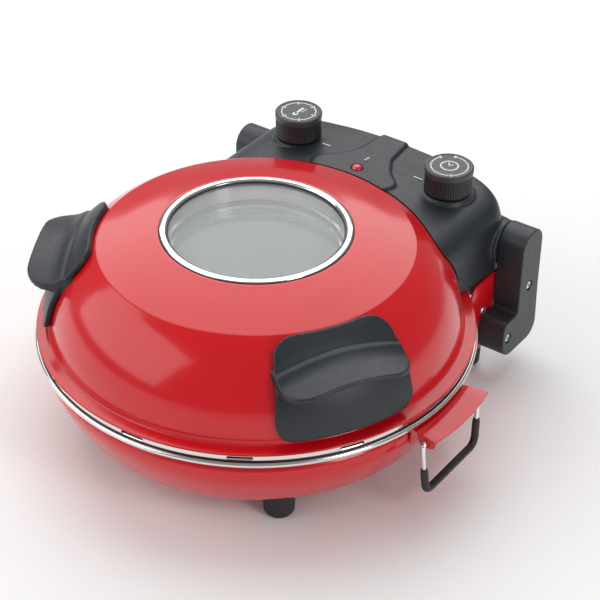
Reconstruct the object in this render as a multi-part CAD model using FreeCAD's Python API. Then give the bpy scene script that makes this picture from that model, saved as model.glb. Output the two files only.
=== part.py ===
import FreeCAD, Part
import math
import os

# Countertop clamshell pizza oven, in millimetres.
# Every shape is built about the bowl's own axis, with height 0 at the middle of the rolled steel rim.
# save() then moves it to the row frame: the origin on the table, under the middle of the oven's footprint.
# The front is -Y, the right-hand side is +X. Angles round the bowl count from the front, + to the right.

V = FreeCAD.Vector
UP = V(0, 0, 1)

# Driving dimensions
rim_radius = 180.0            # outside of the base's rolled steel rim
rim_above_table = 84.0        # middle of the rim above the table
bowl_axis_y = -13.0           # the bowl's axis in the row frame
roll_thickness = 4.8          # diameter of the rolled edge
sheet = 1.2                   # painted steel of both shells
liner_sheet = 1.0             # steel of the pans inside
running_gap = 0.05            # radial clearance of every pin and shaft in its hole

bowl_neck_radius = 171.0
bowl_floor = -58.5
pan_floor = -31.0
pan_ledge = -11.0             # the ring that the stone lies on
pan_wall_radius = 164.0
pan_well_radius = 150.0
stone_radius = 161.0
stone_thickness = 11.0

window_radius = 77.2          # hole in the lid's outer shell
crown_height = 92.4           # lid shell at the window's edge
shoulder = (127.0, 81.3)      # where the crown turns into the lid's side
lid_foot = (167.7, 12.6)      # bottom of the lid's round side
flange_edge = (178.4, 9.5)
skirt_radius = 177.2          # vented steel band under the flange
skirt_bottom = 3.4
vent_count = 13
vent_length = 20.0
vent_height = 3.2
vent_middle = 5.6
vent_first_angle = 5.0

element_tube = 3.25
lower_element_height = -21.0
upper_element_height = 47.0
element_leg_x = 14.0

hinge_y = 184.0
hinge_z = 30.7
pin_radius = 5.0
bush_radius = 8.0
boss_radius = 19.3
boss_end_x = 124.8
arm_inner_x = 125.3
arm_outer_x = 149.3
arm_wall = 2.6
bracket_inner_x = 121.8
bracket_start_y = 125.5
bracket_sheet = 2.0

housing_half_width = 120.8
housing_back_y = 203.0
housing_bottom = 14.0
ear_bottom = 1.0
ear_start_x = 108.0
lug_front_y = 138.5             # within 55 of the hinge, so it clears the rim's roll as the lid swings
lug_back_y = 166.5
lug_bottom = -7.3
housing_wall = 2.6
housing_screw_x = (-88.0, -38.0, 38.0, 88.0)
housing_screw_y = 192.0
housing_lid_gap = 0.8
panel_rise = 2.4

knob_x = 76.3
knob_y = 164.0
knob_radius = 20.4
knob_top = 98.4
knob_bottom = 76.0
knob_cap_height = 5.5
knob_ribs = 48
control_top = 67.6            # top of the thermostat and the timer, under the housing's roof
shaft_radius = 3.0
shaft_grip = 7.0               # length of shaft inside the thermostat or the timer
lamp_y = 142.0
lamp_radius = 4.6
lamp_seat = 78.6              # underside of the lamp's dome
lamp_stem_end = 75.4

handle_angle = 61.0
handle_half_angle = 19.5
handle_plate = 5.0
handle_screw_angles = (handle_angle - 11.0, handle_angle + 11.0)
visor_reach = 179.0
visor_half_width = 52.0

screw_radius = 2.0
screw_hole = 2.1
tie_screw_circle = 12.0
tie_screw_angles = (0, 120, 240)

foot_radius = 13.0
front_foot = (94.0, -96.5)
rear_foot = (114.0, 158.0)
rear_foot_radius = 8.5
rear_foot_top = -62.0

bail_pivot_x = 187.0
bail_pivot_z = -9.5
bail_wire_radius = 1.8
bail_sleeve_radius = 3.1
lug_inner_y = 34.0
lug_sheet = 1.5

nodes = {}


# ---- helpers -------------------------------------------------------------------------------------

def polar(radius, angle, height=0.0):
    """A point at this radius, at an angle from the front."""
    turn = math.radians(angle)
    return V(radius * math.sin(turn), -radius * math.cos(turn), height)


def turned(shape, angle):
    """A copy turned about the bowl's axis, from the front towards +X."""
    copy = shape.copy()
    copy.rotate(V(0, 0, 0), UP, angle)
    return copy


def mirrored(shape):
    """The left-hand twin of a right-hand shape."""
    return shape.mirror(V(0, 0, 0), V(1, 0, 0))


def shifted(points, gap):
    """A path of (radius, height) moved sideways by gap, to the left of its direction, with mitred corners."""
    moved = []
    for index, (r, z) in enumerate(points):
        before = points[max(index - 1, 0)]
        after = points[min(index + 1, len(points) - 1)]
        sides = []
        for start, end in ((before, (r, z)), ((r, z), after)):
            length = math.hypot(end[0] - start[0], end[1] - start[1])
            if length > 0:
                sides.append((-(end[1] - start[1]) / length, (end[0] - start[0]) / length))
        normal_r = sum(side[0] for side in sides)
        normal_z = sum(side[1] for side in sides)
        size = math.hypot(normal_r, normal_z)
        mitre = gap * len(sides) / (size * size)
        moved.append((r + normal_r * mitre, z + normal_z * mitre))
    return moved


def section(runs):
    """A face in the XZ plane, bounded by runs: ("line" or "curve", [(radius, height), ...])."""
    edges = []
    corners = []
    for kind, pairs in runs:
        points = [V(r, 0, z) for r, z in pairs]
        if corners and not corners[-1].isEqual(points[0], 1e-6):
            edges.append(Part.makeLine(corners[-1], points[0]))
        if kind == "curve":
            smooth = Part.BSplineCurve()
            smooth.interpolate(points)
            edges.append(smooth.toShape())
        else:
            edges += [Part.makeLine(a, b) for a, b in zip(points, points[1:])]
        corners += [points[0], points[-1]]
    if not corners[-1].isEqual(corners[0], 1e-6):
        edges.append(Part.makeLine(corners[-1], corners[0]))
    return Part.Face(Part.Wire(edges))


def spun(runs, angle=360.0):
    return section(runs).revolve(V(0, 0, 0), UP, angle)


def spun_lines(pairs, angle=360.0):
    return spun([("line", pairs + [pairs[0]])], angle)


def ring(inner, outer, bottom, top):
    return spun_lines([(inner, bottom), (outer, bottom), (outer, top), (inner, top)])


def ring_piece(inner, outer, bottom, top, angle):
    """A part of a ring, from the right-hand side round towards the back."""
    return spun_lines([(inner, bottom), (outer, bottom), (outer, top), (inner, top)], angle)


def spun_sheet(runs, thickness):
    """A sheet of this thickness, laid to the left of a path made of runs that share their end points."""
    path = list(runs[0][1])
    for _, pairs in runs[1:]:
        path += pairs[1:]
    inside = shifted(path, thickness)
    back = []
    place = 0
    for kind, pairs in runs:
        back.append((kind, inside[place:place + len(pairs)][::-1]))
        place += len(pairs) - 1
    return spun(list(runs) + back[::-1])


def bent(points, radii, closed=False):
    """One wire of straight runs through the points, with a tangent arc of its own radius at each corner."""
    count = len(points)
    starts, ends, arcs = [], [], []
    for index, point in enumerate(points):
        radius = radii[index]
        if radius == 0 or (not closed and index in (0, count - 1)):
            starts.append(point)
            ends.append(point)
            arcs.append(None)
            continue
        back = (points[index - 1] - point).normalize()
        ahead = (points[(index + 1) % count] - point).normalize()
        half = back.getAngle(ahead) / 2
        reach = radius / math.tan(half)
        bisector = (back + ahead).normalize()
        middle = point + bisector * (radius / math.sin(half) - radius)
        starts.append(point + back * reach)
        ends.append(point + ahead * reach)
        arcs.append(Part.Arc(starts[-1], middle, ends[-1]).toShape())
    edges = []
    for index in range(count):
        if arcs[index]:
            edges.append(arcs[index])
        if index < count - 1 or closed:
            following = starts[(index + 1) % count]
            if not ends[index].isEqual(following, 1e-6):
                edges.append(Part.makeLine(ends[index], following))
    return Part.Wire(edges)


def plate_x(outline, radii, inner_x, outer_x):
    """A plate across X, from an outline of (y, z)."""
    wire = bent([V(inner_x, y, z) for y, z in outline], radii, True)
    return Part.Face(wire).extrude(V(outer_x - inner_x, 0, 0))


def plate_z(outline, radii, bottom, top):
    """A plate across Z, from an outline of (x, y)."""
    wire = bent([V(x, y, bottom) for x, y in outline], radii, True)
    return Part.Face(wire).extrude(V(0, 0, top - bottom))


def tube(path, radius):
    """A round bar along a wire."""
    start = path.Edges[0]
    tangent = start.tangentAt(start.FirstParameter)
    origin = start.valueAt(start.FirstParameter)
    hoop = Part.Wire(Part.Edge(Part.Circle(origin, tangent, radius)))
    return Part.Wire(path).makePipeShell([hoop], True, True)


def rod(radius, start, end):
    return Part.makeCylinder(radius, (end - start).Length, start, end - start)


def box(low, high):
    return Part.makeBox(high[0] - low[0], high[1] - low[1], high[2] - low[2], V(*low))


def both_sides(shape):
    """A right-hand shape and its left-hand twin, as separate solids of one node."""
    return Part.makeCompound([shape, mirrored(shape)])


def node(name, shape):
    nodes[name] = shape


# ---- base ----------------------------------------------------------------------------------------

bowl_side = [(bowl_neck_radius, -8.0), (172.6, -10.0), (173.4, -13.5), (172.6, -20.0), (169.4, -29.0),
             (164.9, -38.0), (160.0, -47.0), (155.6, -53.6), (151.0, -57.4), (145.0, bowl_floor)]


def base_shell():
    lip = ("line", [bowl_side[0], (bowl_neck_radius, -0.2)])
    floor = ("line", [(0.0, bowl_floor), bowl_side[-1]])
    shell = spun_sheet([floor, ("curve", bowl_side[::-1]), lip], sheet)
    return shell.cut(floor_holes())


def element_legs(height, far_y, radius):
    """Rods where the element's two legs pass through a wall."""
    legs = [rod(radius, V(x, 90, height), V(x, far_y, height)) for x in (-element_leg_x, element_leg_x)]
    return Part.makeCompound(legs)


def base_pan():
    top_face = [(176.5, 0.9), (pan_wall_radius, 0.9), (pan_wall_radius, pan_ledge),
                (pan_well_radius + 1.5, pan_ledge), (pan_well_radius, pan_floor), (0.0, pan_floor)]
    pan = spun_sheet([("line", top_face)], liner_sheet)
    roll = Part.makeTorus(rim_radius - roll_thickness / 2, roll_thickness / 2)
    pan = pan.fuse(roll)
    return pan.cut([element_legs(lower_element_height, 160.0, element_tube + 0.6)] + floor_holes()[:3])


def baking_stone():
    bottom = pan_ledge
    top = bottom + stone_thickness
    edge = 1.2
    return spun_lines([(0, bottom), (stone_radius - edge, bottom), (stone_radius, bottom + edge),
                       (stone_radius, top - edge), (stone_radius - edge, top), (0, top)])


def heating_element(loop_radius, height, far_y):
    """One round loop with two straight legs that run out at the back."""
    bend = 12.0
    centre = V(element_leg_x + bend, 0, height)
    centre.y = math.sqrt((loop_radius + bend) ** 2 - centre.x ** 2)
    flat = V(centre.x, centre.y, 0)
    on_leg = V(element_leg_x, centre.y, height)
    on_loop = flat * (loop_radius / flat.Length) + V(0, 0, height)
    towards = ((on_leg - centre).normalize() + (on_loop - centre).normalize()).normalize()
    middle = centre + towards * bend

    def other(point):
        return V(-point.x, point.y, point.z)

    edges = [Part.makeLine(V(element_leg_x, far_y, height), on_leg),
             Part.Arc(on_leg, middle, on_loop).toShape(),
             Part.Arc(on_loop, V(0, -loop_radius, height), other(on_loop)).toShape(),
             Part.Arc(other(on_loop), other(middle), other(on_leg)).toShape(),
             Part.makeLine(other(on_leg), V(-element_leg_x, far_y, height))]
    return tube(Part.Wire(edges), element_tube)


def element_clips(loop_radius, height, held_at):
    """Three small steel straps that hold a heating loop off the sheet they are welded to."""
    low, high = sorted((held_at, height + math.copysign(element_tube + 2.0, height - held_at)))
    strap = box((loop_radius - 6, -1.0, low), (loop_radius + 6, 1.0, high))
    strap = strap.cut(rod(element_tube + 0.1, V(loop_radius, -3, height), V(loop_radius, 3, height)))
    return Part.makeCompound([turned(strap, angle) for angle in (150, 270, 30)])


def base_insulation():
    return ring(20.0, 143.0, pan_floor - liner_sheet - 12.0, pan_floor - liner_sheet)


def tie_screws():
    """Three screws with spacer tubes that hold the steel pan down in the bowl."""
    screws = []
    for angle in tie_screw_angles:
        spot = polar(tie_screw_circle, angle)
        spacer = rod(4.5, spot + V(0, 0, bowl_floor + sheet), spot + V(0, 0, pan_floor - liner_sheet))
        head = rod(5.0, spot + V(0, 0, bowl_floor - 2.5), spot + V(0, 0, bowl_floor))
        stem = rod(screw_radius, spot + V(0, 0, bowl_floor - 2.5), spot + V(0, 0, pan_floor + 2.0))
        nut = rod(4.0, spot + V(0, 0, pan_floor), spot + V(0, 0, pan_floor + 2.4))
        screws.append(spacer.fuse([head, stem, nut]))
    return screws


def floor_holes():
    """Cutters for the tie screws and the front feet's screws."""
    spots = [polar(tie_screw_circle, angle) for angle in tie_screw_angles]
    spots += [V(x, front_foot[1], 0) for x in (front_foot[0], -front_foot[0])]
    return [rod(screw_hole, spot + V(0, 0, -70), spot + V(0, 0, -20)) for spot in spots]


def foot(radius, top):
    """A rubber foot with a rounded sole and a recess for its screw."""
    table = -rim_above_table
    sole = radius - 4.0
    return spun([("line", [(3.9, table), (sole, table)]),
                 ("curve", [(sole, table), (radius - 1.6, table + 1.4), (radius - 0.6, table + 4.0)]),
                 ("line", [(radius - 0.6, table + 4.0), (radius, top), (screw_hole, top),
                           (screw_hole, table + 8.0), (3.9, table + 8.0), (3.9, table)])])


def foot_screw(seat):
    """A screw up through a foot, with its nut on top of the sheet at this height."""
    low = -rim_above_table + 8.0
    head = rod(3.6, V(0, 0, low - 2.6), V(0, 0, low))
    stem = rod(screw_radius, V(0, 0, low), V(0, 0, seat + 4.0))
    return head.fuse([stem, rod(3.8, V(0, 0, seat), V(0, 0, seat + 2.6))])


def placed(shape, spot):
    copy = shape.copy()
    copy.translate(V(spot[0], spot[1], 0))
    return copy


arm_outline = [(168.9, 50.5), (201.3, 50.5), (201.9, -7.5), (204.9, -61.9), (147.7, -61.9), (148.3, -25.1),
               (170.1, -25.1)]
arm_radii = [15.5, 15.5, 30.0, 14.0, 16.0, 8.0, 3.0]
arm_screw_spots = [(186.4, -4.3), (157.2, -42.8)]


def hinge_bracket():
    """Right-hand folded steel bracket: riveted to the bowl's neck, it carries the arm and the rear foot."""
    outer_x = bracket_inner_x + bracket_sheet
    outline = [(bracket_start_y, -7.0), (132.0, -7.0), (138.0, 8.0), (192.0, 8.0), (192.0, -18.0),
               (168.0, -46.0), (166.0, rear_foot_top), (150.0, rear_foot_top), (146.0, -48.0),
               (bracket_start_y, -24.0)]
    web = plate_x(outline, [1, 4, 6, 6, 8, 8, 1, 1, 8, 1], bracket_inner_x, outer_x)
    lug = box((rear_foot[0] - 9, 150.0, rear_foot_top), (outer_x, 166.0, rear_foot_top + bracket_sheet))
    pad_angle = math.degrees(math.atan2(bracket_inner_x, -bracket_start_y))
    pad = turned(ring_piece(173.8, 175.8, -24.0, -7.0, 18.0), pad_angle - 90.0)
    bracket = web.fuse([lug, pad])
    slit = box((bracket_inner_x - 1, 148.3, -16.8), (outer_x + 1, 165.3, -15.4))
    holes = [rod(2.2, V(bracket_inner_x - 1, y, z), V(outer_x + 1, y, z)) for y, z in arm_screw_spots]
    holes.append(rod(2.1, V(rear_foot[0], rear_foot[1], -70), V(rear_foot[0], rear_foot[1], -50)))
    return bracket.cut([slit] + holes).removeSplitter()


def bracket_rivets():
    """Right-hand rivets: two through the pad into the bowl, and one in the web."""
    rivets = []
    for angle in (140.5, 149.0):
        rivets.append(rod(2.0, polar(170.5, angle, -15.0), polar(175.8, angle, -15.0)))
        rivets.append(rod(3.6, polar(175.8, angle, -15.0), polar(177.0, angle, -15.0)))
    outer_x = bracket_inner_x + bracket_sheet
    rivets.append(rod(3.4, V(outer_x, 155.3, -23.0), V(outer_x + 1.1, 155.3, -23.0)))
    return rivets


def arm_cover():
    """Right-hand dog-leg cover: a hollow moulding, open towards the oven."""
    body = plate_x(arm_outline, arm_radii, arm_inner_x, arm_outer_x)
    wire = bent([V(arm_inner_x, y, z) for y, z in arm_outline], arm_radii, True)
    inner = wire.makeOffset2D(-arm_wall)
    hollow = Part.Face(inner).extrude(V(arm_outer_x - arm_wall - arm_inner_x, 0, 0))
    body = body.cut(hollow)
    for y, z in arm_screw_spots:
        post = rod(6.0, V(arm_inner_x + 3.4, y, z), V(arm_outer_x - arm_wall, y, z))
        body = body.fuse(post).cut(rod(2.2, V(arm_inner_x - 1, y, z), V(arm_outer_x + 1, y, z)))
        body = body.cut(rod(4.4, V(arm_outer_x - 3.0, y, z), V(arm_outer_x + 1, y, z)))
    rim_notch = rod(pin_radius + 3.0, V(arm_inner_x - 1, hinge_y, hinge_z), V(arm_inner_x, hinge_y, hinge_z))
    return body.cut(rim_notch)


def arm_core():
    """Right-hand steel arm inside the cover, which holds the hinge pin."""
    wire = bent([V(arm_inner_x, y, z) for y, z in arm_outline], arm_radii, True)
    face = Part.Face(wire.makeOffset2D(-arm_wall - 0.4))
    core = face.extrude(V(3.0, 0, 0))
    holes = [rod(2.2, V(arm_inner_x - 1, y, z), V(arm_inner_x + 4, y, z)) for y, z in arm_screw_spots]
    holes.append(rod(pin_radius, V(arm_inner_x - 1, hinge_y, hinge_z), V(arm_inner_x + 4, hinge_y, hinge_z)))
    return core.cut(holes)


def arm_screws():
    screws = []
    for y, z in arm_screw_spots:
        head = rod(4.0, V(arm_outer_x - 3.0, y, z), V(arm_outer_x - 0.8, y, z))
        slot = box((arm_outer_x - 1.8, y - 0.6, z - 3.0), (arm_outer_x, y + 0.6, z + 3.0))
        stem = rod(screw_radius, V(bracket_inner_x - 0.3, y, z), V(arm_outer_x - 3.0, y, z))
        screws.append(head.cut([slot, slot.copy().rotate(V(0, y, z), V(1, 0, 0), 90)]).fuse(stem))
    return screws


def hinge_pin():
    shaft = rod(pin_radius, V(boss_end_x - 19.0, hinge_y, hinge_z), V(arm_inner_x + 8.0, hinge_y, hinge_z))
    collar_x = arm_inner_x + 3.2
    collar = rod(pin_radius + 3.0, V(collar_x, hinge_y, hinge_z), V(collar_x + 3.0, hinge_y, hinge_z))
    return shaft.fuse(collar)


def bail_bracket():
    """Right-hand folded cover plate under the rim, with a lug at each end for the carrying bail."""
    outer = 200.5
    half = 11.2
    cover = turned(ring_piece(174.0, outer, -4.7, -3.2, 2 * half), -half)
    back = turned(ring_piece(174.0, 175.5, -20.0, -3.2, 2 * half), -half)
    lugs = []
    for side in (-1, 1):
        low, high = sorted((side * lug_inner_y, side * (lug_inner_y + lug_sheet)))
        outline = [V(178.0, low, -3.5), V(195.5, low, -3.5), V(194.0, low, -15.0), V(180.5, low, -15.0)]
        lug = Part.Face(bent(outline, [0, 0, 6.0, 6.0], True)).extrude(V(0, high - low, 0))
        lugs.append(lug)
    bracket = cover.fuse([back] + lugs)
    pivot = [V(bail_pivot_x, y, bail_pivot_z) for y in (-50, 50)]
    return bracket.cut(rod(bail_wire_radius + running_gap, *pivot)).removeSplitter()


def bail_rivets():
    """Right-hand rivets that hold the bail bracket on the bowl."""
    rivets = []
    for angle in (84.5, 95.5):
        rivets.append(rod(2.0, polar(170.5, angle, -13.0), polar(175.5, angle, -13.0)))
        rivets.append(rod(3.4, polar(175.5, angle, -13.0), polar(176.7, angle, -13.0)))
    return rivets


def bail_path(start_height=None):
    """The carrying bail's centre line. With a start height, only the U below that height."""
    foot_x = bail_pivot_x + 2.6
    bend_y = lug_inner_y + lug_sheet + 4.6
    corner_y = 36.0
    low = -57.0
    shoulder_z = -19.0
    side = [V(bail_pivot_x, lug_inner_y - 3.0, bail_pivot_z), V(bail_pivot_x, bend_y, bail_pivot_z),
            V(bail_pivot_x + 0.6, bend_y, shoulder_z), V(foot_x, corner_y, low)]
    radii = [0, 3.0, 12.0, 8.0]
    if start_height is not None:
        share = (start_height - shoulder_z) / (low - shoulder_z)
        side = [side[2] + (side[3] - side[2]) * share, side[3]]
        radii = [0, 8.0]
    other = [V(point.x, -point.y, point.z) for point in side]
    return bent(side + other[::-1], radii + radii[::-1])


def bail_wire():
    return tube(bail_path(), bail_wire_radius)


def bail_sleeve():
    path = bail_path(-33.0)
    return tube(path, bail_sleeve_radius).cut(tube(path, bail_wire_radius))


# ---- lid -----------------------------------------------------------------------------------------

crown = [(window_radius, crown_height), (102.0, 87.9), shoulder]
lid_side = [shoulder, (136.6, 74.6), (145.0, 66.7), (152.1, 58.0), (157.9, 48.8), (162.3, 39.0),
            (165.4, 28.6), (167.0, 19.5), lid_foot]


def lid_shell():
    flange = [lid_foot, (168.6, 11.3), (170.6, 10.7), flange_edge]
    shell = spun_sheet([("line", flange[::-1]), ("curve", lid_side[::-1]), ("curve", crown[::-1])], sheet)
    window_hole = rod(window_radius, V(0, 0, 80), V(0, 0, 100))
    legs = element_legs(upper_element_height, 190.0, element_tube + 1.5)
    return shell.cut([window_hole, legs] + handle_screw_holes())


def vents():
    """Cutters for the long oval vent holes in the lid's steel band."""
    half = (vent_length - vent_height) / 2
    low = vent_middle - vent_height / 2
    slot = box((-half, -190, low), (half, -170, low + vent_height))
    ends = [rod(vent_height / 2, V(x, -190, vent_middle), V(x, -170, vent_middle)) for x in (-half, half)]
    slot = slot.fuse(ends)
    step = 360.0 / vent_count
    return [turned(slot, vent_first_angle + step * index) for index in range(vent_count)]


reflector_edge = (152.0, 45.0)      # top of the liner's wall, on its inner face


def lid_pan():
    """Steel liner of the lid: its wall, the flat rim over the base, and the vented band."""
    path = [reflector_edge, (166.0, skirt_bottom), (skirt_radius, skirt_bottom), (skirt_radius, 8.2)]
    pan = spun_sheet([("line", path)], liner_sheet)
    return pan.cut(vents() + [element_legs(upper_element_height, 158.0, element_tube + 1.0)])


def heat_reflector():
    """Shallow steel cone that rests on the wall of the liner and throws the upper element's heat down."""
    seat = shifted([reflector_edge, (166.0, skirt_bottom)], liner_sheet)[0]
    throat = (88.0, 70.0)
    slope = (throat[1] - seat[1]) / (seat[0] - throat[0])
    overhang = 1.2
    path = [(seat[0] + overhang, seat[1] - overhang * slope), throat, (67.0, 71.0)]
    cone = spun_sheet([("line", path)], -liner_sheet)
    return cone.cut(element_legs(upper_element_height, 158.0, element_tube + 1.0))


def lid_gasket():
    return ring(171.0, 178.4, skirt_bottom - 0.7, skirt_bottom)


def window_ring():
    """Bright trim ring round the window, with a crowned top."""
    low, high = 92.0, 93.9
    return spun([("line", [(71.0, low), (76.3, low), (76.3, high - 0.8)]),
                 ("curve", [(76.3, high - 0.8), (75.2, high), (72.4, high - 0.1), (71.0, high - 1.0)]),
                 ("line", [(71.0, high - 1.0), (71.0, low)])])


def window_gasket():
    return spun_lines([(69.6, 91.2), (75.4, 91.2), (75.4, 88.4), (77.1, 88.4), (77.1, 93.0), (76.35, 93.0),
                       (76.35, 91.95), (69.6, 91.95)])


def window_glass():
    return ring(0.0, 75.2, 88.0, 91.2)


def window_spacer():
    """Steel tube between the two panes."""
    return ring(70.4, 71.4, 75.0, 88.0)


def inner_glass():
    return ring(0.0, 74.0, 72.0, 75.0)


def inner_window_ring():
    """Steel ring that clamps the inner pane onto the reflector."""
    return spun_lines([(68.0, 70.0), (68.0, 69.0), (84.0, 68.2), (84.0, 69.2)])


def handle_frame(point):
    """A point given as (along the width, out from the axis, height) on the right-hand handle."""
    across, out, height = point
    return polar(out, handle_angle, height) + polar(across, handle_angle + 90.0)


def handle():
    """Right-hand lid handle: a plate that follows the dome, and a visor-shaped grip."""
    lower = [(r, z) for r, z in lid_side[::-1] if z < 80.0] + [(129.5, 79.9)]
    inner = shifted(lower, -0.3)
    outer = shifted(lower, -0.3 - handle_plate)
    band = spun([("curve", inner), ("curve", outer[::-1])], 2 * handle_half_angle)
    band = turned(band, handle_angle - handle_half_angle - 90.0)
    wide = 58.0
    face_outline = [(-wide, 14.0), (wide, 14.0), (wide, 95.0), (-wide, 95.0)]
    face = bent([handle_frame((s, 90.0, z)) for s, z in face_outline], [14.0, 14.0, 0, 0], True)
    outwards = handle_frame((0, 1, 0)) - handle_frame((0, 0, 0))
    plate = band.common(Part.Face(face).extrude(outwards * 110.0))
    plan_outline = [(-42.0, 126.0), (42.0, 126.0), (62.0, 185.0), (-62.0, 185.0)]
    plan = bent([handle_frame((s, out, 0.0)) for s, out in plan_outline], [14.0, 14.0, 0, 0], True)
    plate = plate.common(Part.Face(plan).extrude(V(0, 0, 120)))
    return plate.fuse(visor()).removeSplitter()


def visor():
    """The grip: an arched slab that stands out of the handle's plate and gets thinner outwards."""
    half = visor_half_width
    root = 140.0
    tip, crest = 61.5, 71.0
    depth = 8.5
    floor = 20.0
    outwards = handle_frame((0, 1, 0)) - handle_frame((0, 0, 0))

    def under_arch(edge, middle, direction):
        arch = Part.Arc(handle_frame((-half, root, edge)), handle_frame((0, root, middle)),
                        handle_frame((half, root, edge))).toShape()
        places = [(half, root, edge), (half, root, floor), (-half, root, floor), (-half, root, edge)]
        corners = [handle_frame(place) for place in places]
        lines = [Part.makeLine(start, end) for start, end in zip(corners, corners[1:])]
        return Part.Face(Part.Wire([arch] + lines)).extrude(direction * 60.0)

    top_fall = V(0, 0, -0.12)
    slab = under_arch(tip, crest, outwards + top_fall)
    slab = slab.cut(under_arch(tip - depth, crest - depth, outwards))
    plan_outline = [(-half, 130.0), (half, 130.0), (half, visor_reach), (-half, visor_reach)]
    plan = bent([handle_frame((s, out, 0.0)) for s, out in plan_outline], [0, 0, 20.0, 20.0], True)
    slab = slab.common(Part.Face(plan).extrude(V(0, 0, 120)))
    # a thin wedge is left at the slab's lower end, and this box leaves it out
    full_depth = box((-200, -200, tip - depth - 8.0), (200, 200, 100))
    clear = [(r, z) for r, z in lid_side[::-1] if z < 80.0]
    kept_out = shifted(clear, -2.0)
    dome = spun([("line", [(0, kept_out[0][1]), kept_out[0]]), ("curve", kept_out),
                 ("line", [kept_out[-1], (0, kept_out[-1][1])])])
    return slab.common(full_depth).cut(dome)


def handle_screws():
    """Right-hand screws that come through the lid's shell into the handle."""
    screws = []
    for angle in handle_screw_angles:
        stem = rod(screw_radius, polar(156.5, angle, 45.0), polar(163.0, angle, 45.0))
        head = rod(4.0, polar(154.5, angle, 45.0), polar(156.5, angle, 45.0))
        screws.append(stem.fuse(head))
    return screws


def handle_screw_holes():
    """Cutters for the holes of all four handle screws in the lid's shell."""
    angles = [side * angle for side in (-1, 1) for angle in handle_screw_angles]
    return [rod(screw_hole, polar(150.0, angle, 45.0), polar(170.0, angle, 45.0)) for angle in angles]


# ---- control housing on the lid ------------------------------------------------------------------

def lid_body(grow):
    """The solid inside the lid's outer face, grown by a gap, for fitting the housing over it."""
    side = shifted(lid_side[::-1], -grow)
    top = shifted(crown[::-1], -grow)
    return spun([("line", [(0, -5), (182.0, -5), (182.0, 11.6), (side[0][0], 12.4)]),
                 ("curve", side), ("line", [side[-1], top[1], top[2], (0, top[2][1] + 3)])])


def housing_block(inset, bottom):
    """The housing's outer form, shrunk all round by inset: an arched top, round shoulders, a curved plan."""
    half = housing_half_width - inset
    side_top = 38.0
    arch_points = [(half - 0.9, 50.0), (half - 5.5, 61.0), (half - 14.0, 67.2), (half - 27.5, 71.4),
                   (half - 50.5, 74.2), (41.0, 76.7), (0.0, 78.2)]
    half_top = [(half, side_top)] + [(x, z - inset) for x, z in arch_points]
    curve_points = [V(x, 90, z) for x, z in half_top] + [V(-x, 90, z) for x, z in half_top[-2::-1]]
    arch = Part.BSplineCurve()
    arch.interpolate(curve_points)
    edges = [arch.toShape(), Part.makeLine(V(-half, 90, side_top), V(-half, 90, bottom)),
             Part.makeLine(V(-half, 90, bottom), V(half, 90, bottom)),
             Part.makeLine(V(half, 90, bottom), V(half, 90, side_top))]
    front_view = Part.Face(Part.Wire(edges)).extrude(V(0, 120, 0))
    back = housing_back_y - inset
    right_plan = [(0.0, 112.0 + inset), (60.0, 108.0 + inset), (112.0 - inset, 90.0 + inset),
                  (half, 97.0 + inset)]
    outline = right_plan + [(half, back), (-half, back)] + [(-x, y) for x, y in right_plan[:0:-1]]
    radii = [0, 60.0, 8.0, 6.0, 30.0 - inset, 30.0 - inset, 6.0, 8.0, 60.0]
    plan = plate_z(outline, radii, bottom - 1, 100.0)
    return front_view.common(plan)


def ear_space(bottom):
    """Everything that lies under the housing: the rim of the lid, and the open space behind it."""
    under_rim = Part.makeCylinder(181.6, housing_bottom - 2.0 + 40.0, V(0, 0, -40))
    behind = box((-ear_start_x, 90, -40), (ear_start_x, 210, bottom))
    return under_rim.fuse(behind)


def knob_collar():
    """Raised ring on the housing under each knob."""
    collar = ring(10.0, knob_radius + 1.6, control_top + 0.2, knob_bottom - 0.6)
    return placed(collar, (knob_x, knob_y))


def pin_axis(radius, start_x, end_x):
    return rod(radius, V(start_x, hinge_y, hinge_z), V(end_x, hinge_y, hinge_z))


def housing_lug():
    """The rounded lug that hangs below the right ear's wall."""
    root = ear_bottom + 5.0
    outline = [(lug_front_y, root), (lug_front_y, ear_bottom), (lug_front_y + 7.0, lug_bottom),
               (lug_back_y - 5.0, lug_bottom + 1.3), (lug_back_y, ear_bottom), (lug_back_y, root)]
    return plate_x(outline, [0, 3.0, 5.0, 5.0, 3.0, 0], housing_half_width - housing_wall, housing_half_width)


def housing_shell():
    outer = housing_block(0.0, ear_bottom).cut(lid_body(housing_lid_gap))
    inner = housing_block(housing_wall, ear_bottom - 20.0)
    shell = outer.cut(inner)
    shell = shell.fuse(list(both_sides(knob_collar()).Solids))
    bosses = both_sides(pin_axis(boss_radius, housing_half_width - 15.0, boss_end_x))
    lugs = both_sides(housing_lug())
    shell = shell.fuse(list(bosses.Solids) + list(lugs.Solids) + housing_posts())
    shell = shell.cut(ear_space(housing_bottom))
    holes = both_sides(pin_axis(bush_radius, housing_half_width - 20.0, boss_end_x + 1.0))
    shafts = both_sides(rod(4.0, V(knob_x, knob_y, 60), V(knob_x, knob_y, 100)))
    lamp_hole = rod(lamp_radius + 0.3, V(0, lamp_y, 60), V(0, lamp_y, 100))
    gland_hole = rod(6.1, V(60, housing_back_y - 10, 40), V(60, housing_back_y + 1, 40))
    return shell.cut(list(holes.Solids) + list(shafts.Solids) + [lamp_hole, gland_hole]).removeSplitter()


def housing_base():
    """Flat cover that closes the housing from below."""
    slab = housing_block(housing_wall + 0.3, -10.0)
    layer = box((-140, 90, housing_bottom), (140, 210, housing_bottom + 2.5))
    cover = slab.common(layer).cut(Part.makeCylinder(169.6, 60, V(0, 0, -10)))
    bosses = both_sides(pin_axis(boss_radius + 0.4, housing_half_width - 17.0, boss_end_x))
    holes = [rod(screw_hole, V(x, housing_screw_y, 0), V(x, housing_screw_y, 40)) for x in housing_screw_x]
    return cover.cut(list(bosses.Solids) + holes)


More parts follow.
